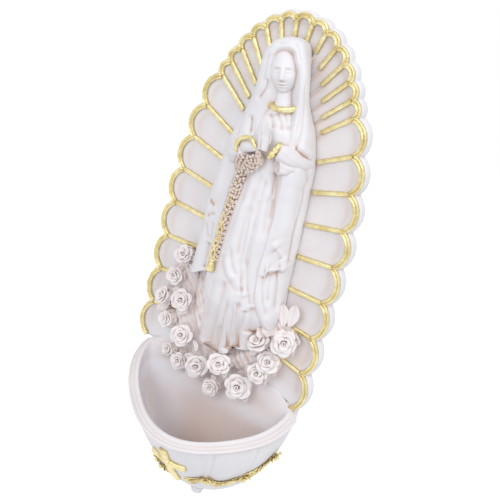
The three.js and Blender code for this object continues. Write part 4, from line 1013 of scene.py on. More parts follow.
# Direction from which the folds of the gown are drawn onto it
FOLD_SIGHT = np.array([0.40116, -0.85259, 0.33492])
GOWN_FOLDS = [
    ([(5, -24.3, 8.3), (5.5, -24.5, 3.3), (6.2, -24.7, -2.2), (6.5, -24.9, -7.8), (7, -24.9, -13.5),
      (7.6, -24.6, -18.7), (9.2, -24.2, -24.6), (11.2, -23.5, -31.4)], 1.0, 1.1, 0.1, 0.08),
    ([(7.7, -23.8, 11.4), (8, -24, 6.3), (8.7, -24.1, 0.5), (9.3, -24.2, -4.6)], 0.7, 0.7, 0.15, 0.3),
    ([(6.8, -23.5, 22.1), (6.2, -23.8, 18.1), (6.2, -24.1, 12.1), (6.3, -24.3, 7),
      (7, -24.5, 0.7)], 1.1, 0.7, 0.15, 0.3),
    ([(-0.2, -22.7, 20), (-0.3, -22.9, 15.7), (-0.3, -23.2, 11), (-0.4, -23.5, 4.9)], 1.0, 0.6, 0.2, 0.3),
    ([(11.9, -20.7, 23.5), (12.2, -20.8, 19.4), (12.6, -20.7, 15.3), (13.1, -20.8, 9.9)], 1.0, 1.1, 0.05, 0.4),
    ([(13.5, -18.7, 23), (14, -18.4, 18.5), (14.2, -18.4, 14.3)], 0.8, 0.8, 0.05, 0.3),
    ([(11.6, -21.7, 15), (12.3, -21.7, 8.4), (13.2, -21.6, 0.9), (13.7, -21.9, -5.1)], 1.4, 0.8, 0.25, 0.3),
    ([(13.1, -20.3, 13.7), (13.8, -20.2, 7.9), (14.2, -20.5, 2)], 1.2, 0.6, 0.25, 0.3),
    ([(-3, -22.9, -16.1), (-1, -23.7, -21.6), (2.8, -24.4, -26.4), (6.7, -24.4, -29.4), (9.6, -24, -30.1),
      (10, -24, -27.1)], 1.1, 0.6, 0.25, 0.35),
    ([(0, -24.2, -16.9), (2.8, -24.5, -22.6), (6.5, -24.5, -26.6)], 1.6, -0.7, 0.25, 0.25),
    ([(0.3, -24.4, -11.7), (2.5, -24.7, -17.2), (5.2, -24.7, -21.6), (7.9, -24.4, -24.7)], 0.9, 0.6, 0.25, 0.2),
    ([(9.2, -24.4, -13.6), (10.6, -23.9, -19.5), (12.3, -23.2, -25.9), (14.5, -22.2, -31.7),
      (16, -21.3, -36.1)], 0.9, 0.8, 0.15, 0.1),
    ([(8.6, -24.5, -16.5), (10.4, -23.9, -24.2), (12.6, -23.1, -31.9)], 1.1, -0.6, 0.2, 0.1),
    ([(1.9, -24.2, -27.2), (1.6, -23.9, -35.5), (1.5, -23.3, -46.3), (1.1, -22.5, -56.7),
      (1.3, -22.1, -64.3)], 1.0, 1.9, 0.12, 0.02),
    ([(5.7, -24.3, -33.6), (5.5, -23.8, -44.4), (5, -23.1, -54.7), (4.9, -22.6, -64.4)], 0.9, 1.0, 0.2, 0.02),
    ([(4, -23, -49), (3.1, -22.4, -58.4), (2.9, -21.6, -65.6)], 0.9, 1.6, 0.3, 0.02),
    ([(10.8, -24, -33.5), (11.3, -23.4, -42.8), (12.3, -22.6, -52), (13.2, -21.6, -60)], 0.9, 1.4, 0.15, 0.02),
    ([(9.4, -23.6, 21.3), (9, -23.8, 12.7), (9.1, -24, 4), (9.2, -24.2, -4.8), (9.2, -24.3, -13.7),
      (9.5, -24.3, -21.9), (9.7, -24.2, -27.8)], 0.8, 0.9, 0.08, 0.1),
    ([(4.9, -23.6, 15.5), (4.5, -23.8, 6.7), (3.8, -24, -1.5), (3.9, -24.2, -10.5), (5.2, -24.4, -17.2)],
     0.8, 0.8, 0.15, 0.15),
    ([(8.1, -24.1, -35.4), (9.5, -23.6, -43.6), (10, -23, -52.3), (10.1, -22.5, -59.4)], 1.0, 1.3, 0.25, 0.02),
    ([(14.6, -22.2, -37.4), (14.2, -22.2, -43.8), (13.9, -22.1, -50.3), (14.1, -21.7, -56.7),
      (15.3, -21.1, -64.4)], 0.9, 1.6, 0.05, 0.02),
    ([(16.9, -20.6, -34.4), (17.5, -20.3, -40.9), (18.3, -19.6, -48.6)], 1.6, 1.7, 0.2, 0.05),
    ([(-5, -21.4, -27.5), (-4.9, -21.4, -33.7), (-4.5, -21.3, -43.3), (-4.1, -20.9, -53.1)], 1.2, 0.7, 0.25, 0.2),
    ([(1.8, -23.9, -37.3), (1.5, -23.1, -48.4), (0.8, -22.2, -59)], 0.8, -0.5, 0.2, 0.2),
    ([(12, -23.2, -34.9), (11.6, -23.2, -42.8), (11.7, -22.6, -53.7)], 1.4, -0.6, 0.2, 0.2),
    ([(1.8, -20.2, 44.6), (4, -21.9, 41.7), (6.2, -22.7, 38.8)], 0.8, 0.7, 0.1, 0.3),
    ([(4.6, -20.2, 45.9), (7.5, -21.4, 42.8), (9.7, -21.7, 39)], 0.9, 0.8, 0.1, 0.25),
    ([(7.5, -19.1, 46.7), (10.2, -19.9, 43.5), (12, -20.2, 39.3)], 0.9, 0.8, 0.1, 0.25),
    ([(9.2, -16.8, 47.6), (11.6, -18.4, 43.9), (12.6, -19.2, 40.2)], 0.8, 0.6, 0.1, 0.25),
]


def even_stain(points, normals):
    """A thin even coat of the wash over the whole piece."""
    return np.full(len(points), 0.14)


def gown_darker_to_hem(points, normals):
    """The gown is laid darker towards its hem."""
    return 0.12 + 0.18 * smooth_step((-38 - points[:, 2]) / 20)


def robe():
    rings = []
    for z in np.linspace(-65, 48, 260):
        middle, half, depth = robe_section(z)
        depth *= 1 - 0.42 * smooth_step((-36 - z) / 30)
        fuller = 1 + 0.17 * math.exp(-(((z + 30) / 11) ** 2))
        slimmer = 1 - 0.36 * smooth_step((-40 - z) / 18)
        turn = np.linspace(math.pi, 0, 190)
        valley = 1 - np.abs(np.sin(7.5 * turn + 0.5 * math.sin(z / 15) + 0.9))
        pleats = 0.4 * valley**1.6 * (0.6 + 0.4 * np.sin(3.3 * turn + z / 23)) * smooth_step((26 - z) / 12)
        front = np.column_stack([
            middle + half * np.cos(turn) * np.where(turn > math.pi / 2, fuller, slimmer),
            ROBE_BACK - (depth - pleats) * np.sin(turn) ** 0.75,
            np.full(len(turn), z),
        ])
        front[:, 2] += 6 * smooth_step((front[:, 0] - 5) / 9) * smooth_step((-40 - z) / 25)
        back = front[-1] + (front[0] - front[-1]) * np.linspace(0, 1, 14)[1:-1, None]
        back[:, 1] = -6.1
        rings.append(np.vstack([front, back]))
    piece = loft_of("gown", rings)
    carve(piece, GOWN_FOLDS, FOLD_SIGHT)
    return finish_piece(piece, white_resin, ["robe"], 0.5, extra_wash_and_shade=gown_darker_to_hem)


robe()


# ---------------------------------------------------------------- mantle and veil

# From the left hem over the head to the right tip: the front edge (x, y, z), the foot on the plate (x, z) and the fullness
MANTLE_RIBS = np.array([
    (-10.8, -19.5, -29.5, -22.6, -37.5, 0.3), (-10.2, -19.8, -23.3, -22.3, -28, 0.3), (-9.6, -20, -17, -22, -20, 0.3),
    (-9.2, -20, -9, -21.5, -12, 0.3), (-9, -20, -1.3, -22.5, -4, 0.3), (-8.3, -20, 9.5, -21.5, 8, 0.3),
    (-7.6, -20, 16.5, -20.5, 16, 0.3), (-7.4, -20.5, 21, -19.5, 22, 0.3), (-5.5, -21.5, 27, -18.4, 28, 0.4),
    (-3.3, -21.5, 32, -17, 33, 0.5), (-1.6, -21.5, 37, -15.5, 38, 0.6), (-1.4, -21.3, 42, -13.4, 43.5, 0.8),
    (-1.3, -21.3, 47, -11.8, 49, 1.0), (-0.9, -22, 52.3, -10.8, 55, 1.0), (-1.8, -22, 57.5, -10.6, 60.5, 1.0),
    (-3.0, -22, 62.6, -9.8, 66, 1.0), (-3.0, -22, 66.0, -7.6, 70.2, 1.0), (-1.4, -22, 69.2, -3.8, 73, 1.0),
    (2.6, -22, 71.0, 1.4, 74.2, 1.2), (6.4, -22, 70.4, 5.2, 72.4, 1.8), (8.6, -22, 66.8, 7.0, 67.6, 2.9),
    (10.4, -21.5, 63.2, 7.8, 63.6, 3.6), (11.7, -21, 58.4, 8.8, 59.6, 3.7), (12.2, -20.3, 54.0, 10.0, 54.2, 3.6),
    (12.4, -19.6, 50.0, 11.8, 49.4, 3.3), (12.6, -19.6, 45.0, 14.4, 44.8, 2.9), (12.9, -20, 40.0, 17, 40.4, 2.4),
    (13.2, -20.5, 34.5, 19, 34.4, 1.8), (15, -23.2, 25.6, 21, 27, 1.6), (15.6, -22.4, 18.6, 21.8, 18.6, 1.4),
    (15.4, -21.2, 12.3, 22.2, 12, 1.2), (15.5, -20.4, 4.8, 22.8, 4, 0.9), (15.3, -20.8, -1.6, 23.2, -4, 0.6),
    (15.4, -21.2, -9.9, 23.6, -12, 0.5), (15.4, -22, -15.7, 23.7, -19, 0.4), (15.8, -21.9, -22.4, 24.3, -28, 0.3),
    (16.9, -21.2, -31.4, 25, -36, 0.3), (19, -19, -38, 25.2, -41, 0.2), (21.1, -16, -43.4, 25, -46, 0.1),
], float)
LINING = [(9.0, 5.6), (6.6, 4.6), (4.5, 3.4), (2.6, 2.0), (1.3, 1.0), (0.5, 0.35), (0.12, 0.06)]
MANTLE_FOLDS = [
    ([(-1.9, -22, 57.6), (-2.6, -21.9, 53.4), (-4.4, -21, 49.7), (-5.4, -20.5, 47.4)], 0.9, 0.9, 0.1, 0.3),
    ([(-6.5, -20.2, 42.1), (-5.3, -21, 38), (-4.2, -21.4, 33.4)], 0.9, 0.8, 0.25, 0.3),
    ([(-12.1, -14.9, 42.4), (-12.6, -16.1, 38.1), (-11.9, -18.3, 33.3), (-10.8, -20, 29.5)], 1.6, 0.7, 0.3, 0.3),
    ([(-19, -15.4, 0.6), (-15.4, -18.4, -0), (-12.3, -19.6, -1)], 1.1, 0.5, 0.3, 0.3),
    ([(-18.1, -16.2, -7.8), (-15.9, -18.1, -5.5), (-13.3, -19.3, -3.7),
      (-10.6, -19.9, -2.6)], 1.1, 0.55, 0.3, 0.3),
    ([(-17.7, -16.9, -4.8), (-13.8, -19.2, -2.3), (-11, -19.9, -1.2)], 1.2, -0.6, 0.2, 0.2),
    ([(-17.9, -16.4, -8.2), (-15.2, -18.4, -12.4), (-12.6, -19.6, -16.3)], 1.1, 0.5, 0.3, 0.3),
    ([(-12.6, -19.6, -16.3), (-12.1, -19.7, -22.8), (-11.6, -19.5, -29.3)], 0.9, 0.8, 0.1, 0.1),
    ([(-13.6, -18.2, 28.5), (-13.4, -18.7, 19.9), (-13.5, -18.9, 11.1), (-13.4, -19.2, 2.2)], 2.2, -0.5, 0.3, 0.3),
    ([(-12.9, -19.5, -4.9), (-12.1, -19.6, -11), (-11.4, -19.9, -19.1), (-10.8, -19.7, -25.6)], 1.1, 0.6, 0.2, 0.2),
    ([(12.4, -20.4, 63.9), (13.9, -19.5, 58.1), (14.9, -17.7, 51.7), (16, -17.8, 46), (16.8, -18.3, 41.5),
      (16.7, -19.3, 37.4), (15.8, -20, 33.9)], 0.9, 0.6, 0.3, 0.05),
    ([(15.8, -20, 33.9), (18, -18.4, 32.9), (19.7, -15.4, 31.5), (20.7, -12.4, 29.5),
      (21.2, -10.2, 27.3)], 0.8, 1.1, 0.02, 0.15),
    ([(16.4, -19.6, 35.7), (18.5, -17.6, 34.6), (19.9, -13.7, 32.7), (20.5, -10.9, 30.6)], 1.3, -0.7, 0.2, 0.2),
    ([(18.1, -18.4, 31.2), (19.7, -16.2, 28.3), (21.2, -13, 24.2), (21.9, -10.3, 19)], 0.9, 0.8, 0.15, 0.3),
    ([(11.8, -21.2, 61.4), (13.6, -20.2, 55.3), (14, -19.3, 49.5), (14.5, -19.5, 43.6),
      (14.5, -20.1, 38.4)], 1.1, 0.35, 0.35, 0.2),
    ([(19.5, -17, 22.4), (20.6, -15.8, 15.4), (21.5, -14.9, 7.7), (22.2, -14, 1.2)], 1.0, 0.5, 0.25, 0.3),
    ([(21, -13.6, 24.2), (21.7, -12.6, 16.2), (22.2, -12.4, 8.9), (22.5, -12.3, 3.7), (22.8, -12.1, -2.5),
      (23.2, -11.5, -8.8), (23.3, -12, -14.6)], 0.9, 1.1, 0.15, 0.05),
    ([(20.5, -19.2, -18.7), (21.2, -18.7, -25.5), (22.2, -17.9, -33.8)], 1.3, 0.8, 0.05, 0.3),
    ([(22.4, -15.5, -17), (23.3, -14.2, -26.7), (24.2, -13.6, -37)], 1.2, 0.9, 0.05, 0.25),
    ([(18.6, -21.1, -18.9), (20.8, -18.8, -18.7), (22.5, -15.3, -17.7)], 2.0, 1.6, 0.1, 0.1),
    ([(17.7, -21.6, -19.8), (18.9, -21, -25.9), (20.8, -19.6, -32.5), (23, -16.3, -39.6)], 0.9, 0.8, 0.05, 0.2),
    ([(18.5, -20.1, -6.7), (20.6, -18.3, -9.3), (22.1, -15.8, -12.4)], 1.6, 0.7, 0.2, 0.25),
    ([(16.8, -20.8, -4.5), (19.6, -19.3, -7.3), (22.2, -15.6, -11.1), (23, -13.3, -14)], 1.2, -0.7, 0.15, 0.1),
    ([(23, -13.4, -14.5), (22.1, -16.2, -16.3), (20.1, -19.5, -17), (17.9, -21.4, -17.5)], 1.0, -1.0, 0.05, 0.05),
    ([(-0.4, -20.5, 72.8), (-0.3, -21.6, 71.6), (-0.2, -22, 70.4)], 1.2, 0.25, 0.4, 0.4),
    ([(4.2, -18.9, 74), (7.1, -20.2, 72.4), (9.2, -21, 69.5), (10.7, -21.3, 66.5)], 1.0, 0.6, 0.2, 0.2),
    ([(-4.2, -21.6, 67.9), (-4.6, -21.8, 63.1), (-4.3, -21.6, 57.7), (-4.2, -21.4, 53)], 1.0, 0.5, 0.2, 0.3),
    ([(20.7, -15.1, 20), (21.6, -13.9, 12), (22.4, -13.2, 3.4)], 1.4, -0.4, 0.3, 0.3),
    ([(17.4, -18.8, 21.9), (18.3, -18.5, 13.6), (19.4, -18.2, 4.4), (20, -18.6, -3.2)], 2.2, -0.4, 0.3, 0.3),
]


def lining_wash_and_painted_light(points, normals):
    """An even thin coat of the wash, and painted light on the lining round the face, where the painted shade of the
    hollow is taken away.
    """
    inward = np.array([2.6, -17.5]) - points[:, :2]
    inward /= np.maximum(np.linalg.norm(inward, axis=1, keepdims=True), 1e-6)
    facing = smooth_step(((normals[:, :2] * inward).sum(axis=1) - 0.1) / 0.4)
    return 0.1 - 0.6 * facing * smooth_step((points[:, 2] - 42) / 4)


def mantle():
    ribs = smooth_line(MANTLE_RIBS, 620)
    edge = ribs[:, :3]
    foot = np.column_stack([ribs[:, 3], np.full(len(ribs), -6.1), ribs[:, 4]])
    run = np.gradient(edge, axis=0)
    for _ in range(30):
        run[1:-1] = (run[:-2] + 2 * run[1:-1] + run[2:]) / 4
    outward = np.column_stack([-run[:, 2], np.zeros(len(run)), run[:, 0]])
    outward /= np.maximum(np.linalg.norm(outward, axis=1, keepdims=True), 1e-6)
    rows = [edge - outward * inward + (0, back, 0) for inward, back in LINING]
    for v in np.linspace(0, 1, 76):
        row = edge.copy()
        row[:, [0, 2]] += (foot - edge)[:, [0, 2]] * math.sin(v * math.pi / 2) ** 0.95
        row[:, 1] += (foot - edge)[:, 1] * (1 - math.cos(v * math.pi / 2)) ** 0.95
        rows.append(row + outward * ribs[:, 5:6] * math.sin(math.pi * v**0.8))
    piece = close_seams(sheet_of("mantle_and_veil", rows), outward=False)
    face_towards(piece, (0, -1, 0))
    carve(piece, MANTLE_FOLDS)
    thicken(piece, 0.8)
    return finish_piece(piece, white_resin, ["mantle"], 0.7, extra_wash_and_shade=lining_wash_and_painted_light)


mantle()


# ---------------------------------------------------------------- head

HEAD_PLACE = Matrix.Rotation(math.radians(-11), 4, "Y") @ Matrix.Rotation(math.radians(15), 4, "Z")
HEAD_PLACE.translation = Vector((2.6, -17.5, 61.5))


def swell(x, z, middle_x, middle_z, wide, tall):
    return np.exp(-((x - middle_x) / wide) ** 2 - ((z - middle_z) / tall) ** 2)


def head():
    clear_selection()
    bpy.ops.mesh.primitive_uv_sphere_add(segments=160, ring_count=110, radius=1)
    skull = bpy.context.object
    ball = points_of(skull) * MM
    low = np.clip(-ball[:, 2], 0, 1)
    x = ball[:, 0] * 5.9 * (1 - 0.3 * low**2)
    y = ball[:, 1] * 7.0 * (1 - 0.16 * low**2)
    z = ball[:, 2] * 8.8
    front = smooth_step((-ball[:, 1] - 0.05) / 0.45)
    side = np.abs(x)
    nose_run = np.clip((1.6 - z) / 4.4, 0, 1)
    nose = (0.35 + 1.45 * nose_run**1.3) * np.exp(-((x / (0.6 + 0.45 * nose_run)) ** 2))
    nose *= smooth_step((2.2 - z) / 1.2) * smooth_step((z + 3.7) / 0.7)
    lift = nose
    lift = lift - 0.75 * swell(side, z, 2.3, 0.5, 1.5, 1.15)
    lift = lift + 0.55 * swell(side, z, 2.35, 0.05, 1.15, 0.6)
    lift = lift - 0.22 * swell(side, z, 2.35, -0.42, 1.2, 0.2)
    lift = lift + 0.3 * swell(side, z, 2.2, 1.75, 1.7, 0.45)
    lift = lift + 0.35 * swell(side, z, 3.0, -2.5, 1.5, 1.7)
    lift = lift + 0.5 * swell(x, z, 0, -4.7, 1.5, 0.38)
    lift = lift + 0.52 * swell(x, z, 0, -5.75, 1.25, 0.42)
    lift = lift - 0.42 * swell(x, z, 0, -5.2, 1.8, 0.2)
    lift = lift - 0.2 * swell(x, z, 0, -6.45, 1.5, 0.35)
    lift = lift + 0.7 * swell(x, z, 0, -7.3, 1.6, 0.9)
    set_points(skull, np.column_stack([x, y - lift * front, z]))
    close_seams(skull)
    rings = []
    for t in np.linspace(0, 1, 16):
        radius = 3.7 - 0.5 * math.sin(math.pi * t) + 0.9 * t * t
        turn = np.linspace(0, 2 * math.pi, 41)[:-1]
        rings.append(np.column_stack([
            radius * np.cos(turn), 1.0 + radius * np.sin(turn), np.full(len(turn), -4.5 - 10.5 * t),
        ]))
    neck = loft_of("neck", rings)
    whole = joined("head_and_neck", [skull, neck])
    place = HEAD_PLACE.copy()
    place.translation = place.translation * MM
    whole.data.transform(place)
    return finish_piece(whole, white_resin, ["head"], 0.7, extra_wash_and_shade=even_stain)


head()


# ---------------------------------------------------------------- hands, sleeves and cuffs

WRIST_CENTRE = np.array([6.4, -28, 31.4])


def hands():
    lean = math.radians(16)
    sides = []
    for side in (-1, 1):
        rings = []
        for t in np.linspace(0, 1, 40):
            wide = np.interp(t, [0, 0.15, 0.4, 0.62, 0.85, 0.96, 1], [1.4, 1.6, 1.75, 1.45, 1.1, 0.7, 0.3])
            deep = np.interp(t, [0, 0.15, 0.4, 0.62, 0.85, 0.96, 1], [1.9, 2.2, 2.4, 2.1, 1.6, 1.05, 0.5])
            turn = np.linspace(0, 2 * math.pi, 49)[:-1]
            grooves = 0.15 * np.cos(9 * turn) * smooth_step((t - 0.42) / 0.12) * np.clip(np.cos(turn) + 0.4, 0, 1)
            x = np.maximum(np.cos(turn), -0.35) * wide * (1 - grooves)
            y = np.sin(turn) * deep * (1 - grooves)
            x = side * (x + 0.31 * wide)
            height = 12.4 * t
            rings.append(np.column_stack([
                WRIST_CENTRE[0] + x + 0.15 * side * (1 - t) - 0.12 * height,
                WRIST_CENTRE[1] + y * math.cos(lean) - 0.4 * height * math.sin(lean),
                WRIST_CENTRE[2] + height * math.cos(lean) - y * math.sin(lean) * 0.4,
            ]))
        sides.append(loft_of("hand", rings))
        thumb = smooth_line([(side * 1.1, 1.8, 2.6), (side * 0.7, 2.4, 4.8), (side * 0.2, 2.3, 6.6), (side * 0.1, 1.9, 7.4)], 14)
        radii = np.interp(np.linspace(0, 1, 14), [0, 0.5, 0.85, 1], [0.75, 0.7, 0.55, 0.22])
        sides.append(tube_along("thumb", WRIST_CENTRE + thumb, radii, 16))
    return finish_piece(joined("joined_hands", sides), white_resin, ["hands"], 0.8, extra_wash_and_shade=even_stain)


hands()

SLEEVES = {
    "left": [(-11, -15, 24.5), (-8, -19.5, 26), (-5, -23, 28), (-2.6, -25.2, 29.8)],
    "right": [(17.4, -9, 27.4), (17, -16.5, 28.8), (14.8, -22, 31), (11.6, -25.4, 32.4)],
}
SLEEVE_RADII = {"left": [5.6, 4.9, 4.0, 3.5], "right": [4.0, 3.8, 3.4, 2.7]}


def sleeve_folds(turn, run):
    return 0.06 * np.sin(3 * turn + 5 * run) + 0.03 * np.sin(7 * turn - 9 * run)


def sleeve(side):
    line = smooth_line(SLEEVES[side], 40)
    radii = np.interp(np.linspace(0, 1, 40), [0, 0.5, 0.85, 1], SLEEVE_RADII[side])
    parts = [tube_along("forearm", line, radii, 56, 1.0, sleeve_folds)]
    if side == "right":
        # The wide end of the sleeve hangs open below the wrist
        hang = smooth_line([(16.6, -11, 27), (16.2, -18, 27), (14.6, -22.4, 26.8), (12.9, -24.8, 26.4)], 40)
        lip = hang[-1]
        inward = hang[-6] - lip
        inward /= np.linalg.norm(inward)
        hang = np.vstack([hang, lip - inward * 0.25, lip + inward * 0.05, lip + inward * 0.4, lip + inward * 0.8])
        radii = np.concatenate([np.interp(np.linspace(0, 1, 40), [0, 0.5, 1], [3.8, 3.5, 3.2]), [3.0, 2.7, 2.5, 1.6]])
        parts.append(tube_open("hanging_sleeve", hang, radii, hang[40] - hang[30]))
    if side == "left":
        wrist = smooth_line([(-5, -23, 28), (-2.4, -25.6, 30.2), (1.4, -27.4, 31.4), (5, -28, 32.4)], 24)
        parts.append(tube_along("wrist", wrist, np.interp(np.linspace(0, 1, 24), [0, 0.4, 1], [2.9, 2.7, 1.7]), 32))
    piece = joined(f"sleeve_of_{side}_arm", parts)
    return finish_piece(piece, white_resin, [f"sleeve_{side}"], 0.4, extra_wash_and_shade=even_stain)


def tube_open(name, line, radii, along):
    """A tube with every ring square to one direction, so that its end can turn back into itself."""
    along = along / np.linalg.norm(along)
    across = np.cross((0, 0, 1), along)
    across /= np.linalg.norm(across)
    over = np.cross(along, across)
    turn = np.linspace(0, 2 * math.pi, 57)[:-1]
    rings = []
    for k, (spot, radius) in enumerate(zip(line, radii)):
        swing = radius * (1 + sleeve_folds(turn, min(k / 40, 1)) * 1.3)
        rings.append(spot + across * (swing * np.cos(turn))[:, None] + over * (0.92 * swing * np.sin(turn))[:, None])
    return loft_of(name, rings)


sleeve("left")
sleeve("right")

LACE_LINES = {
    "left": [[
        (-4.7, -28.2, 27.0), (-5.1, -28.4, 29.8), (-4.4, -28.6, 32.1), (-2.4, -28.8, 33.8),
        (0.4, -29.2, 34.7), (2.7, -30.0, 33.7), (4.5, -30.4, 31.6),
    ]],
    "right": [[(11.8, -23.4, 35.2), (11.3, -25.6, 33.6), (10.6, -26.8, 31.6), (9.5, -27.2, 29)]],
}


def cuff(side):
    """Lace edge of a sleeve: bands that are drawn together between its lobes."""
    size = 0.85 if side == "left" else 1.45
    bands = []
    for line in LACE_LINES[side]:
        share = np.linspace(0, 1, 44)
        lobes = 1 + 0.16 * np.cos(2 * math.pi * 4 * share) + 0.08 * np.sin(2 * math.pi * 9 * share)
        ends = np.minimum(1, 0.4 + 6 * np.minimum(share, 1 - share))
        bands.append(tube_along("lace", smooth_line(line, 44), size * lobes * ends, 20))
    return finish_piece(joined(f"lace_cuff_{side}", bands), gold_paint, [f"cuff_{side}"], 0.9, 2.0)


cuff("left")
cuff("right")


# ---------------------------------------------------------------- collar and rosary

COLLAR_LINE = [
    (-1.2, -17.4, 49.9), (0.3, -19, 48.2), (2.8, -20, 47.1), (5.2, -20.3, 47.1), (7.7, -20, 47.6), (9.6, -18.8, 48.3),
    (11.4, -17.4, 49.2),
]


def collar():
    line = smooth_line(COLLAR_LINE, 60)
    share = np.linspace(0, 1, 60)
    radii = 1.05 * np.minimum(1, 0.5 + 8 * np.minimum(share, 1 - share))
    piece = tube_along("gold_collar", line, radii, 20, 1.25)
    return finish_piece(piece, gold_paint, ["collar"], 1.2, 2.0)


collar()


STRAND_LINE = [
    (-3, -24.2, 19.5), (-3.5, -24, 12.9), (-3.9, -23.9, 8.5), (-4.7, -23.8, 2.4), (-5.3, -23.8, -4.1),
    (-5.6, -23.9, -10.4), (-5.9, -24, -16.1), (-5.9, -24, -21.5),
]
WRIST_LINE = [(-7.4, -24, 24.4), (-5, -25.6, 24), (-2.6, -26.6, 24.2), (0.6, -27.4, 24.8), (3.4, -28, 26.6), (5.2, -28.6, 29.4)]


ACROSS_STRAND = np.array([0.86, 0.5, 0.0])


def rosary():
    clear_selection()
    bpy.ops.mesh.primitive_uv_sphere_add(segments=10, ring_count=7, radius=MM)
    bead = close_seams(bpy.context.object)
    beads = []

    def string(place, size):
        beads.append(copy_of(bead, "bead", Matrix.Translation(Vector(place)) @ Matrix.Scale(size, 4)))

    for k, spot in enumerate(smooth_line(STRAND_LINE, 38)):
        narrow = 1 - 0.25 * k / 38
        for side in (-1.5, -0.5, 0.5, 1.5):
            shift = (0.4 + side * (1.15 + 0.2 * math.sin(1.9 * k + side))) * narrow
            lift = 0.3 * math.sin(2.7 * k + 2 * side) + 0.2 * side * side
            wobble = 0.35 * math.sin(3.1 * k + 2 * side) + 0.4 * side
            string(spot + ACROSS_STRAND * shift + (0, lift, wobble), 0.76 + 0.1 * math.sin(4.1 * k + side))
    for k, spot in enumerate(smooth_line(WRIST_LINE, 17)):
        for row in range(6):
            sway = math.sin(2.3 * k + 1.7 * row)
            swing = math.sin(3.7 * k - 2.9 * row)
            string(spot + (0.15 * row + 0.35 * sway, 0.4 * row + 0.5 * swing, 1.6 - 1.15 * row + 0.5 * sway), 0.74 + 0.16 * swing)
    bpy.data.objects.remove(bead)
    share = np.linspace(0, 1, 120)
    bed = smooth_line(STRAND_LINE, 120) + (-0.5, 2.0, 0)
    beads.append(tube_along("strand_bed", bed, 2.0 * (1 + 0.05 * np.sin(150 * share)) * np.minimum(1, 0.3 + 8 * (1 - share)), 24, 0.72))
    bed = smooth_line(WRIST_LINE, 40) + (0.4, 3.0, -1.2)
    beads.append(tube_along("wrist_bed", bed, np.full(40, 2.0), 20))
    strands = joined("rosary_beads", beads)
    finish_piece(strands, bead_resin, ["rosary"], 1.0, 1.6)
    cords = []
    for side in (-1, 1):
        line = smooth_line(STRAND_LINE, 60)
        share = np.linspace(0, 1, 60)
        line += np.outer(side * 1.1 * np.cos(24 * share) * (1 - 0.3 * share), ACROSS_STRAND)
        line[:, 1] -= 0.5 + 0.25 * np.sin(24 * share)
        cords.append(tube_along("gold_thread", line, np.interp(share, [0, 0.3, 0.55, 1], [0.06, 0.1, 0.45, 0.6]), 8))
    rings = []
    turn = np.linspace(0, 2 * math.pi, 41)[:-1]
    for down, radius in [(0, 0.5), (0.06, 1.2), (0.16, 1.5), (0.24, 0.9), (0.3, 1.2), (0.6, 1.6), (0.9, 1.7), (1, 1.3)]:
        swing = radius * (1 + 0.1 * np.cos(10 * turn) * (down > 0.25))
        rings.append(np.column_stack([-5.9 + swing * np.cos(turn), -24.2 + swing * np.sin(turn) * 0.8, np.full(40, -20.8 - 6 * down)]))
    cords.append(loft_of("tassel", rings))
    thread = joined("rosary_thread", cords)
    return finish_piece(thread, gold_paint, [], 1.0, 1.6)


rosary()


# ---------------------------------------------------------------- roses

# Place, radius and stand-off of each bloom, and where it looks
ROSES = [
    ("left_1", -27.2, -31.0, 4.1, 4.4, (0.1, -0.85, 0.5)), ("left_2", -29.7, -41.9, 4.1, 4.4, (0.1, -0.95, 0.2)),
    ("left_3", -22.8, -51.3, 4.9, 6, (0.33, -0.88, 0.28)), ("left_4", -32.8, -54.2, 4.1, 4.4, (-0.3, -0.85, 0.3)),
    ("left_5", -28.9, -64.1, 3.9, 4.4, (-0.1, -0.95, 0.2)), ("left_6", -18.5, -68.0, 4.9, 6, (0.3, -0.88, 0.36)),
    ("left_7", -23.9, -78.4, 3.4, 4.4, (-0.25, -0.92, 0.1)), ("left_8", -17.6, -80.8, 3.9, 5, (0.3, -0.9, 0.16)),
    ("centre_1", -6.7, -77.8, 5.4, 7, (0.36, -0.88, 0.2)), ("centre_2", 5.8, -70.0, 4.9, 10, (0.3, -0.86, 0.36)),
    ("centre_3", 3.3, -83.9, 4.1, 7, (0.2, -0.95, 0.05)), ("centre_4", 15.7, -77.5, 5.8, 7, (0.36, -0.86, 0.26)),
    ("right_1", 20.2, -54.6, 5.3, 6, (-0.2, -0.6, 0.7)), ("right_2", 30.6, -48.6, 5.8, 5, (0.36, -0.86, 0.28)),
    ("right_3", 25.7, -61.0, 4.9, 6, (0.4, -0.75, 0.5)), ("right_4", 23.3, -67.1, 4.5, 7, (0.3, -0.88, 0.3)),
]


def petal(name, spin, inner, outer, wide, base, top, roll, wave):
    """One petal of a rose of unit radius that faces +z: wrapped round the heart, its rim rolled outwards."""
    rows = []
    for v in np.linspace(0, 1, 12):
        row = []
        for u in np.linspace(-1, 1, 19):
            rise = v * (1 - 0.22 * abs(u) ** 2.6 + 0.04 * math.sin(3 * u + wave))
            height = base + (top - base) * math.sin(rise * 1.65) / math.sin(1.65)
            radius = inner + (outer - inner) * rise**1.3 + roll * max(0, rise - 0.74) ** 1.3 + 0.035 * u
            height -= roll * 0.9 * max(0, rise - 0.82) ** 1.4
            angle = spin + wide * u * (0.85 + 0.15 * v)
            row.append((radius * math.cos(angle), radius * math.sin(angle), height))
        rows.append(row)
    blade = sheet_of(name, rows)
    close_seams(blade, outward=False)
    return blade


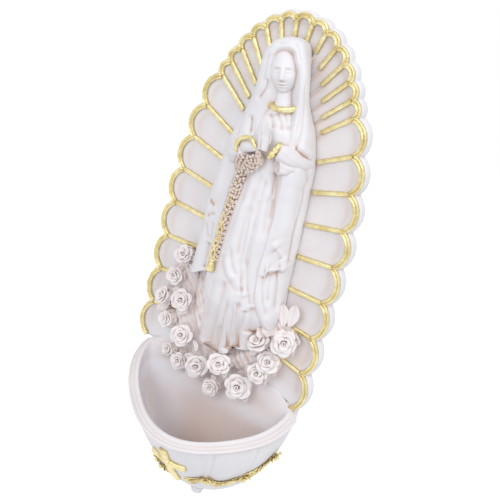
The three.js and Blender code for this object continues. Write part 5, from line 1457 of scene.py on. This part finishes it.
def rose_master(seed):
    """A full-blown rose: a rolled heart, then rows of petals that open wider and lower."""
    parts = []
    rows = []
    for v in np.linspace(0, 1, 8):
        row = []
        for t in np.linspace(0, 1, 48):
            angle = seed + 2 * math.pi * 1.3 * t
            radius = 0.04 + 0.2 * t + 0.03 * v * v
            height = 0.3 + (0.62 - 0.04 * t) * math.sin(v * 1.57)
            row.append((radius * math.cos(angle), radius * math.sin(angle), height))
        rows.append(row)
    heart = close_seams(sheet_of("rose_heart", rows), outward=False)
    parts.append(thicken(heart, 0.09, 0.03))
    for count, turned, inner, outer, wide, base, top, roll in [
        (3, 0.0, 0.27, 0.42, 1.2, 0.15, 0.9, 0.35),
        (4, 0.7, 0.38, 0.64, 0.95, 0.0, 0.76, 0.5),
        (5, 0.2, 0.48, 0.9, 0.78, -0.15, 0.52, 0.6),
    ]:
        for k in range(count):
            jitter = math.sin(5.3 * k + 2.1 * seed + 3 * count)
            spin = seed + turned + 2 * math.pi * k / count + 0.2 * jitter
            blade = petal(
                "rose_petal", spin, inner, outer * (1 + 0.09 * jitter), wide, base, top + 0.09 * jitter, roll, seed + 2.7 * k,
            )
            face_towards(blade, (math.cos(spin), math.sin(spin), -0.3))
            parts.append(thicken(blade, 0.12, 0.04))
    clear_selection()
    bpy.ops.mesh.primitive_uv_sphere_add(segments=24, ring_count=14, radius=1)
    cup = bpy.context.object
    ball = points_of(cup) * MM
    set_points(cup, np.column_stack([0.74 * ball[:, 0], 0.74 * ball[:, 1], 0.05 + 0.42 * ball[:, 2]]))
    parts.append(close_seams(cup))
    return joined("rose_master", parts)


LEAVES = {
    "right_1": [((28.1, -10, -43.1), (25.4, -9.6, -32.4))],
    "right_2": [((30.7, -10, -41.9), (31.2, -9.6, -30.4))],
    "left_4": [((-30, -9.5, -58), (-36.5, -8.6, -62.5))],
    "left_1": [((-24.5, -9.5, -34), (-18.5, -9, -39))],
    "left_5": [((-24, -10, -60), (-20, -9.5, -55))],
    "left_6": [((-12.4, -11, -67.6), (-8.2, -12, -71.5))],
    "left_7": [((-23, -9.5, -80), (-29.5, -8.8, -83.5))],
}


# Strips of ground under the roses: line on the plate, half width, height
GROUND_STRIPS = [
    ([(-27, -29), (-26, -40), (-25, -50), (-22, -60), (-18, -70), (-9, -76), (1, -78.5), (10, -79), (17, -74.5), (23, -65),
      (26, -56), (29, -48)], 6.5, 3.2),
    ([(-16, -24), (-14, -34), (-13, -46), (-10, -58), (-3, -66), (6, -68.5), (14, -65), (20, -56), (25, -46), (27, -38)], 6.5, 5.2),
    ([(16, -40), (19.5, -45), (22, -50)], 5.5, 9.5),
]


def ground_stain(points, normals):
    """The ground keeps an even coat of the wash."""
    return np.full(len(points), 0.14)


def rose_ground():
    """Rough ground on the plate that the roses grow from."""
    strips = []
    for keys, wide, high in GROUND_STRIPS:
        line = smooth_line(keys, 240)
        run = np.gradient(line, axis=0)
        across = np.column_stack([-run[:, 1], run[:, 0]]) / np.linalg.norm(run, axis=1, keepdims=True)
        end = smooth_step(np.minimum(np.arange(240), 239 - np.arange(240)) / 22)
        rows = []
        for v in np.linspace(-1, 1, 60):
            flat = line + across * (v * wide * (0.35 + 0.65 * end))[:, None]
            lumps = np.sin(0.9 * flat[:, 0]) * np.sin(0.8 * flat[:, 1]) + 0.5 * np.sin(1.7 * flat[:, 0] + 1.3 * flat[:, 1])
            lift = high * (1 + 0.14 * lumps) * (1 - v * v) ** 0.6 * end
            rows.append(np.column_stack([flat[:, 0], PLATE_FRONT + 0.9 - lift, flat[:, 1]]))
        strip = close_seams(sheet_of("ground_strip", rows), outward=False)
        face_towards(strip, (0, -1, 0))
        strips.append(strip)
    piece = joined("rose_ground", strips)
    return finish_piece(piece, rose_resin, [], 0.36, 2.5, extra_wash_and_shade=ground_stain)


rose_ground()


def roses():
    masters = [rose_master(0.4), rose_master(1.9), rose_master(3.3)]
    leaf = leaf_blade("rose_leaf", 11, 5.6, 1.4, 3.0, 1.15)
    for number, (name, x, z, full, stand_off, looks) in enumerate(ROSES):
        facing = np.array(looks) / np.linalg.norm(looks)
        spot = np.array([x, SEAT_Y - stand_off + 0.1 * full, z])
        up = np.array([math.sin(2.2 * number), 0, math.cos(2.2 * number)])
        place = frame_of(spot, np.cross(up, facing), facing)
        size = Matrix.Diagonal((full, full * (1 + 0.05 * math.sin(2.9 * number)), full * 0.92, 1))
        parts = [copy_of(masters[number % 3], f"rose_bloom_{name}", place @ size)]
        rings = []
        turn = np.linspace(0, 2 * math.pi, 49)[:-1]
        for t in np.linspace(0, 1, 10):
            reach = full * (0.95 - 0.25 * t) * (1 + 0.07 * np.sin(5 * turn + number) + 0.05 * np.sin(9 * turn + 7 * t))
            y = PLATE_FRONT + 0.1 + (spot[1] - PLATE_FRONT - 0.6) * t
            rings.append(np.column_stack([x + reach * np.cos(turn), np.full(48, y), z + reach * np.sin(turn)]))
        parts.append(loft_of("rose_base", rings))
        for start, end in LEAVES.get(name, []):
            run = np.subtract(end, start)
            grown = np.linalg.norm(run) / 11
            parts.append(copy_of(leaf, "rose_leaf", frame_of(start, run, (0, -1, 0)) @ Matrix.Diagonal((grown, grown, 1, 1))))
        for k in range(5):
            spin = 2 * math.pi * k / 5 + 1.3 * number
            run = np.array([math.cos(spin), -0.35, math.sin(spin)])
            start = spot + (0, 0.55 * full, 0) + run * 0.35 * full
            grown = full * (1.05 + 0.15 * math.sin(3.1 * k + number)) / 11
            parts.append(copy_of(leaf, "rose_leaf", frame_of(start, run, (0, -1, 0)) @ Matrix.Diagonal((grown, 1.35 * grown, 0.7, 1))))
        whole = joined(f"rose_bloom_{name}", parts)
        finish_piece(whole, rose_resin, [f"rose_{name}"], 0.66, 1.3)
    for master in [*masters, leaf]:
        bpy.data.objects.remove(master)


roses()


# ---------------------------------------------------------------- wash and painted shade in the hollows

def hemisphere(count):
    spots = (np.arange(count) + 0.5) / count
    turn = math.pi * (3 - math.sqrt(5)) * np.arange(count)
    reach = np.sqrt(spots)
    return np.column_stack([reach * np.cos(turn), reach * np.sin(turn), np.sqrt(1 - spots)])


SHADE_RAYS = 10


def neighbours_mean(points, edges, rounds):
    count = np.bincount(edges.ravel(), minlength=len(points))
    count = np.maximum(count, 1)[:, None]
    smooth = points.copy()
    for _ in range(rounds):
        total = np.zeros_like(smooth)
        for axis in range(smooth.shape[1]):
            total[:, axis] = np.bincount(edges[:, 0], smooth[edges[:, 1], axis], len(points))
            total[:, axis] += np.bincount(edges[:, 1], smooth[edges[:, 0], axis], len(points))
        smooth = 0.5 * smooth + 0.5 * total / count
    return smooth


def paint_wash_and_shade():
    """The wash settles where a surface is hollow, and painted shade is laid where it is hollow or close to another one.
    """
    corners = []
    faces = []
    start = 0
    for piece, *_ in finished:
        points = points_of(piece)
        corners.append(points)
        faces += [[start + i for i in face.vertices] for face in piece.data.polygons]
        start += len(points)
    tree = BVHTree.FromPolygons(np.vstack(corners).tolist(), faces)
    rays = hemisphere(SHADE_RAYS)
    for piece, gain, reach, extra_wash_and_shade in finished:
        points = points_of(piece)
        normals = normals_of(piece)
        edges = np.empty(len(piece.data.edges) * 2, int)
        piece.data.edges.foreach_get("vertices", edges)
        edges = edges.reshape(-1, 2)
        near_mean = neighbours_mean(points, edges, 6)
        hollow = np.clip(((near_mean - points) * normals).sum(axis=1), -0.05, 0.3)
        if len(points) > 18000:
            far_mean = neighbours_mean(near_mean, edges, 26)
            hollow += 0.8 * np.clip(((far_mean - points) * normals).sum(axis=1), -0.1, 0.35)
        side = np.cross(normals, np.where(np.abs(normals[:, 2:]) < 0.9, (0, 0, 1), (1, 0, 0)))
        side /= np.maximum(np.linalg.norm(side, axis=1, keepdims=True), 1e-6)
        over = np.cross(normals, side)
        # Painted shade: rays that meet another surface nearby darken the piece, as ambient occlusion would.
        covered = np.zeros(len(points))
        for ray in rays:
            directions = side * ray[0] + over * ray[1] + normals * ray[2]
            starts = points + normals * 0.06
            for i, (origin, direction) in enumerate(zip(starts.tolist(), directions.tolist())):
                gap = tree.ray_cast(origin, direction, reach)[3]
                if gap is not None:
                    covered[i] += 1 - gap / reach
        covered = neighbours_mean((covered / SHADE_RAYS)[:, None], edges, 2)[:, 0]
        # Painted shade and wash together: darker where the piece is hollow and where nearby surfaces block the rays.
        wash_and_shade = gain * (1.5 * np.clip(covered - 0.06, 0, 1) + 2.6 * hollow)
        if extra_wash_and_shade:
            wash_and_shade += extra_wash_and_shade(points, normals)
        wash_and_shade = np.clip(wash_and_shade, 0, 1)
        layer = piece.data.attributes.new("wash_and_shade", "FLOAT", "POINT")
        layer.data.foreach_set("value", wash_and_shade.astype(np.float32))


paint_wash_and_shade()


# ---------------------------------------------------------------- floor, light and camera

def seen_directly(tree):
    """1 where the camera, a reflection or a clear surface looks straight at it."""
    path = tree.nodes.new("ShaderNodeLightPath")
    seen = path.outputs["Is Camera Ray"]
    for ray in ("Is Glossy Ray", "Is Transmission Ray"):
        either = tree.nodes.new("ShaderNodeMath")
        either.operation = "MAXIMUM"
        tree.links.new(seen, either.inputs[0])
        tree.links.new(path.outputs[ray], either.inputs[1])
        seen = either.outputs[0]
    return seen


def studio():
    clear_selection()
    bpy.ops.mesh.primitive_plane_add(size=8, location=(0, 0, -0.62))
    floor = bpy.context.object
    floor.name = "floor"
    pale, skin = new_finish("pale_floor")
    skin.inputs["Base Color"].default_value = (0.86, 0.86, 0.86, 1)
    skin.inputs["Roughness"].default_value = 0.8
    skin.inputs["Emission Color"].default_value = (1, 1, 1, 1)
    links = pale.node_tree.links
    seen = seen_directly(pale.node_tree)
    glow = pale.node_tree.nodes.new("ShaderNodeMath")
    glow.operation = "MULTIPLY"
    glow.inputs[1].default_value = 0.62
    links.new(seen, glow.inputs[0])
    links.new(glow.outputs[0], skin.inputs["Emission Strength"])
    floor.data.materials.append(pale)
    world = bpy.data.worlds.new("studio")
    bpy.context.scene.world = world
    world.use_nodes = True
    nodes = world.node_tree.nodes
    links = world.node_tree.links
    nodes.clear()
    out = nodes.new("ShaderNodeOutputWorld")
    room = nodes.new("ShaderNodeBackground")
    room.inputs["Color"].default_value = (0.96, 0.97, 1.0, 1)
    room.inputs["Strength"].default_value = 0.73
    backdrop = nodes.new("ShaderNodeBackground")
    backdrop.inputs["Color"].default_value = (1, 1, 1, 1)
    backdrop.inputs["Strength"].default_value = 1.0
    mix = nodes.new("ShaderNodeMixShader")
    links.new(seen_directly(world.node_tree), mix.inputs["Fac"])
    links.new(room.outputs[0], mix.inputs[1])
    links.new(backdrop.outputs[0], mix.inputs[2])
    links.new(mix.outputs[0], out.inputs["Surface"])


def soft_lamp(name, place, aim, size, watts, colour):
    lamp = bpy.data.lights.new(name, "AREA")
    lamp.shape = "DISK"
    lamp.size = size
    lamp.energy = watts
    lamp.color = colour
    holder = bpy.data.objects.new(name, lamp)
    holder.location = place
    holder.rotation_euler = (Vector(aim) - Vector(place)).to_track_quat("-Z", "Y").to_euler()
    bpy.context.scene.collection.objects.link(holder)


studio()
soft_lamp("key_lamp", (-0.1, -0.98, 0.52), (0, 0, 0), 0.5, 2.6, (0.99, 0.985, 1.0))
soft_lamp("fill_lamp", (0.8, -0.55, 0.7), (0, 0, 0), 0.8, 2.8, (0.97, 0.975, 1.0))
soft_lamp("top_lamp", (0.62, -0.12, 0.78), (0, 0, -0.06), 0.6, 0.9, (1.0, 0.985, 0.98))

lens = bpy.data.cameras.new("camera")
lens.sensor_fit = "HORIZONTAL"
lens.sensor_width = 36
lens.lens = 36 * 760.116 / 500
camera = bpy.data.objects.new("camera", lens)
camera.matrix_world = Matrix((
    (0.83992, -0.36551, 0.40116, 0.13532),
    (0.48828, 0.18627, -0.85259, -0.29009),
    (0.23691, 0.91199, 0.33492, 0.09395),
    (0, 0, 0, 1),
))
bpy.context.scene.collection.objects.link(camera)
bpy.context.scene.camera = camera
bpy.context.scene.view_settings.view_transform = "Standard"
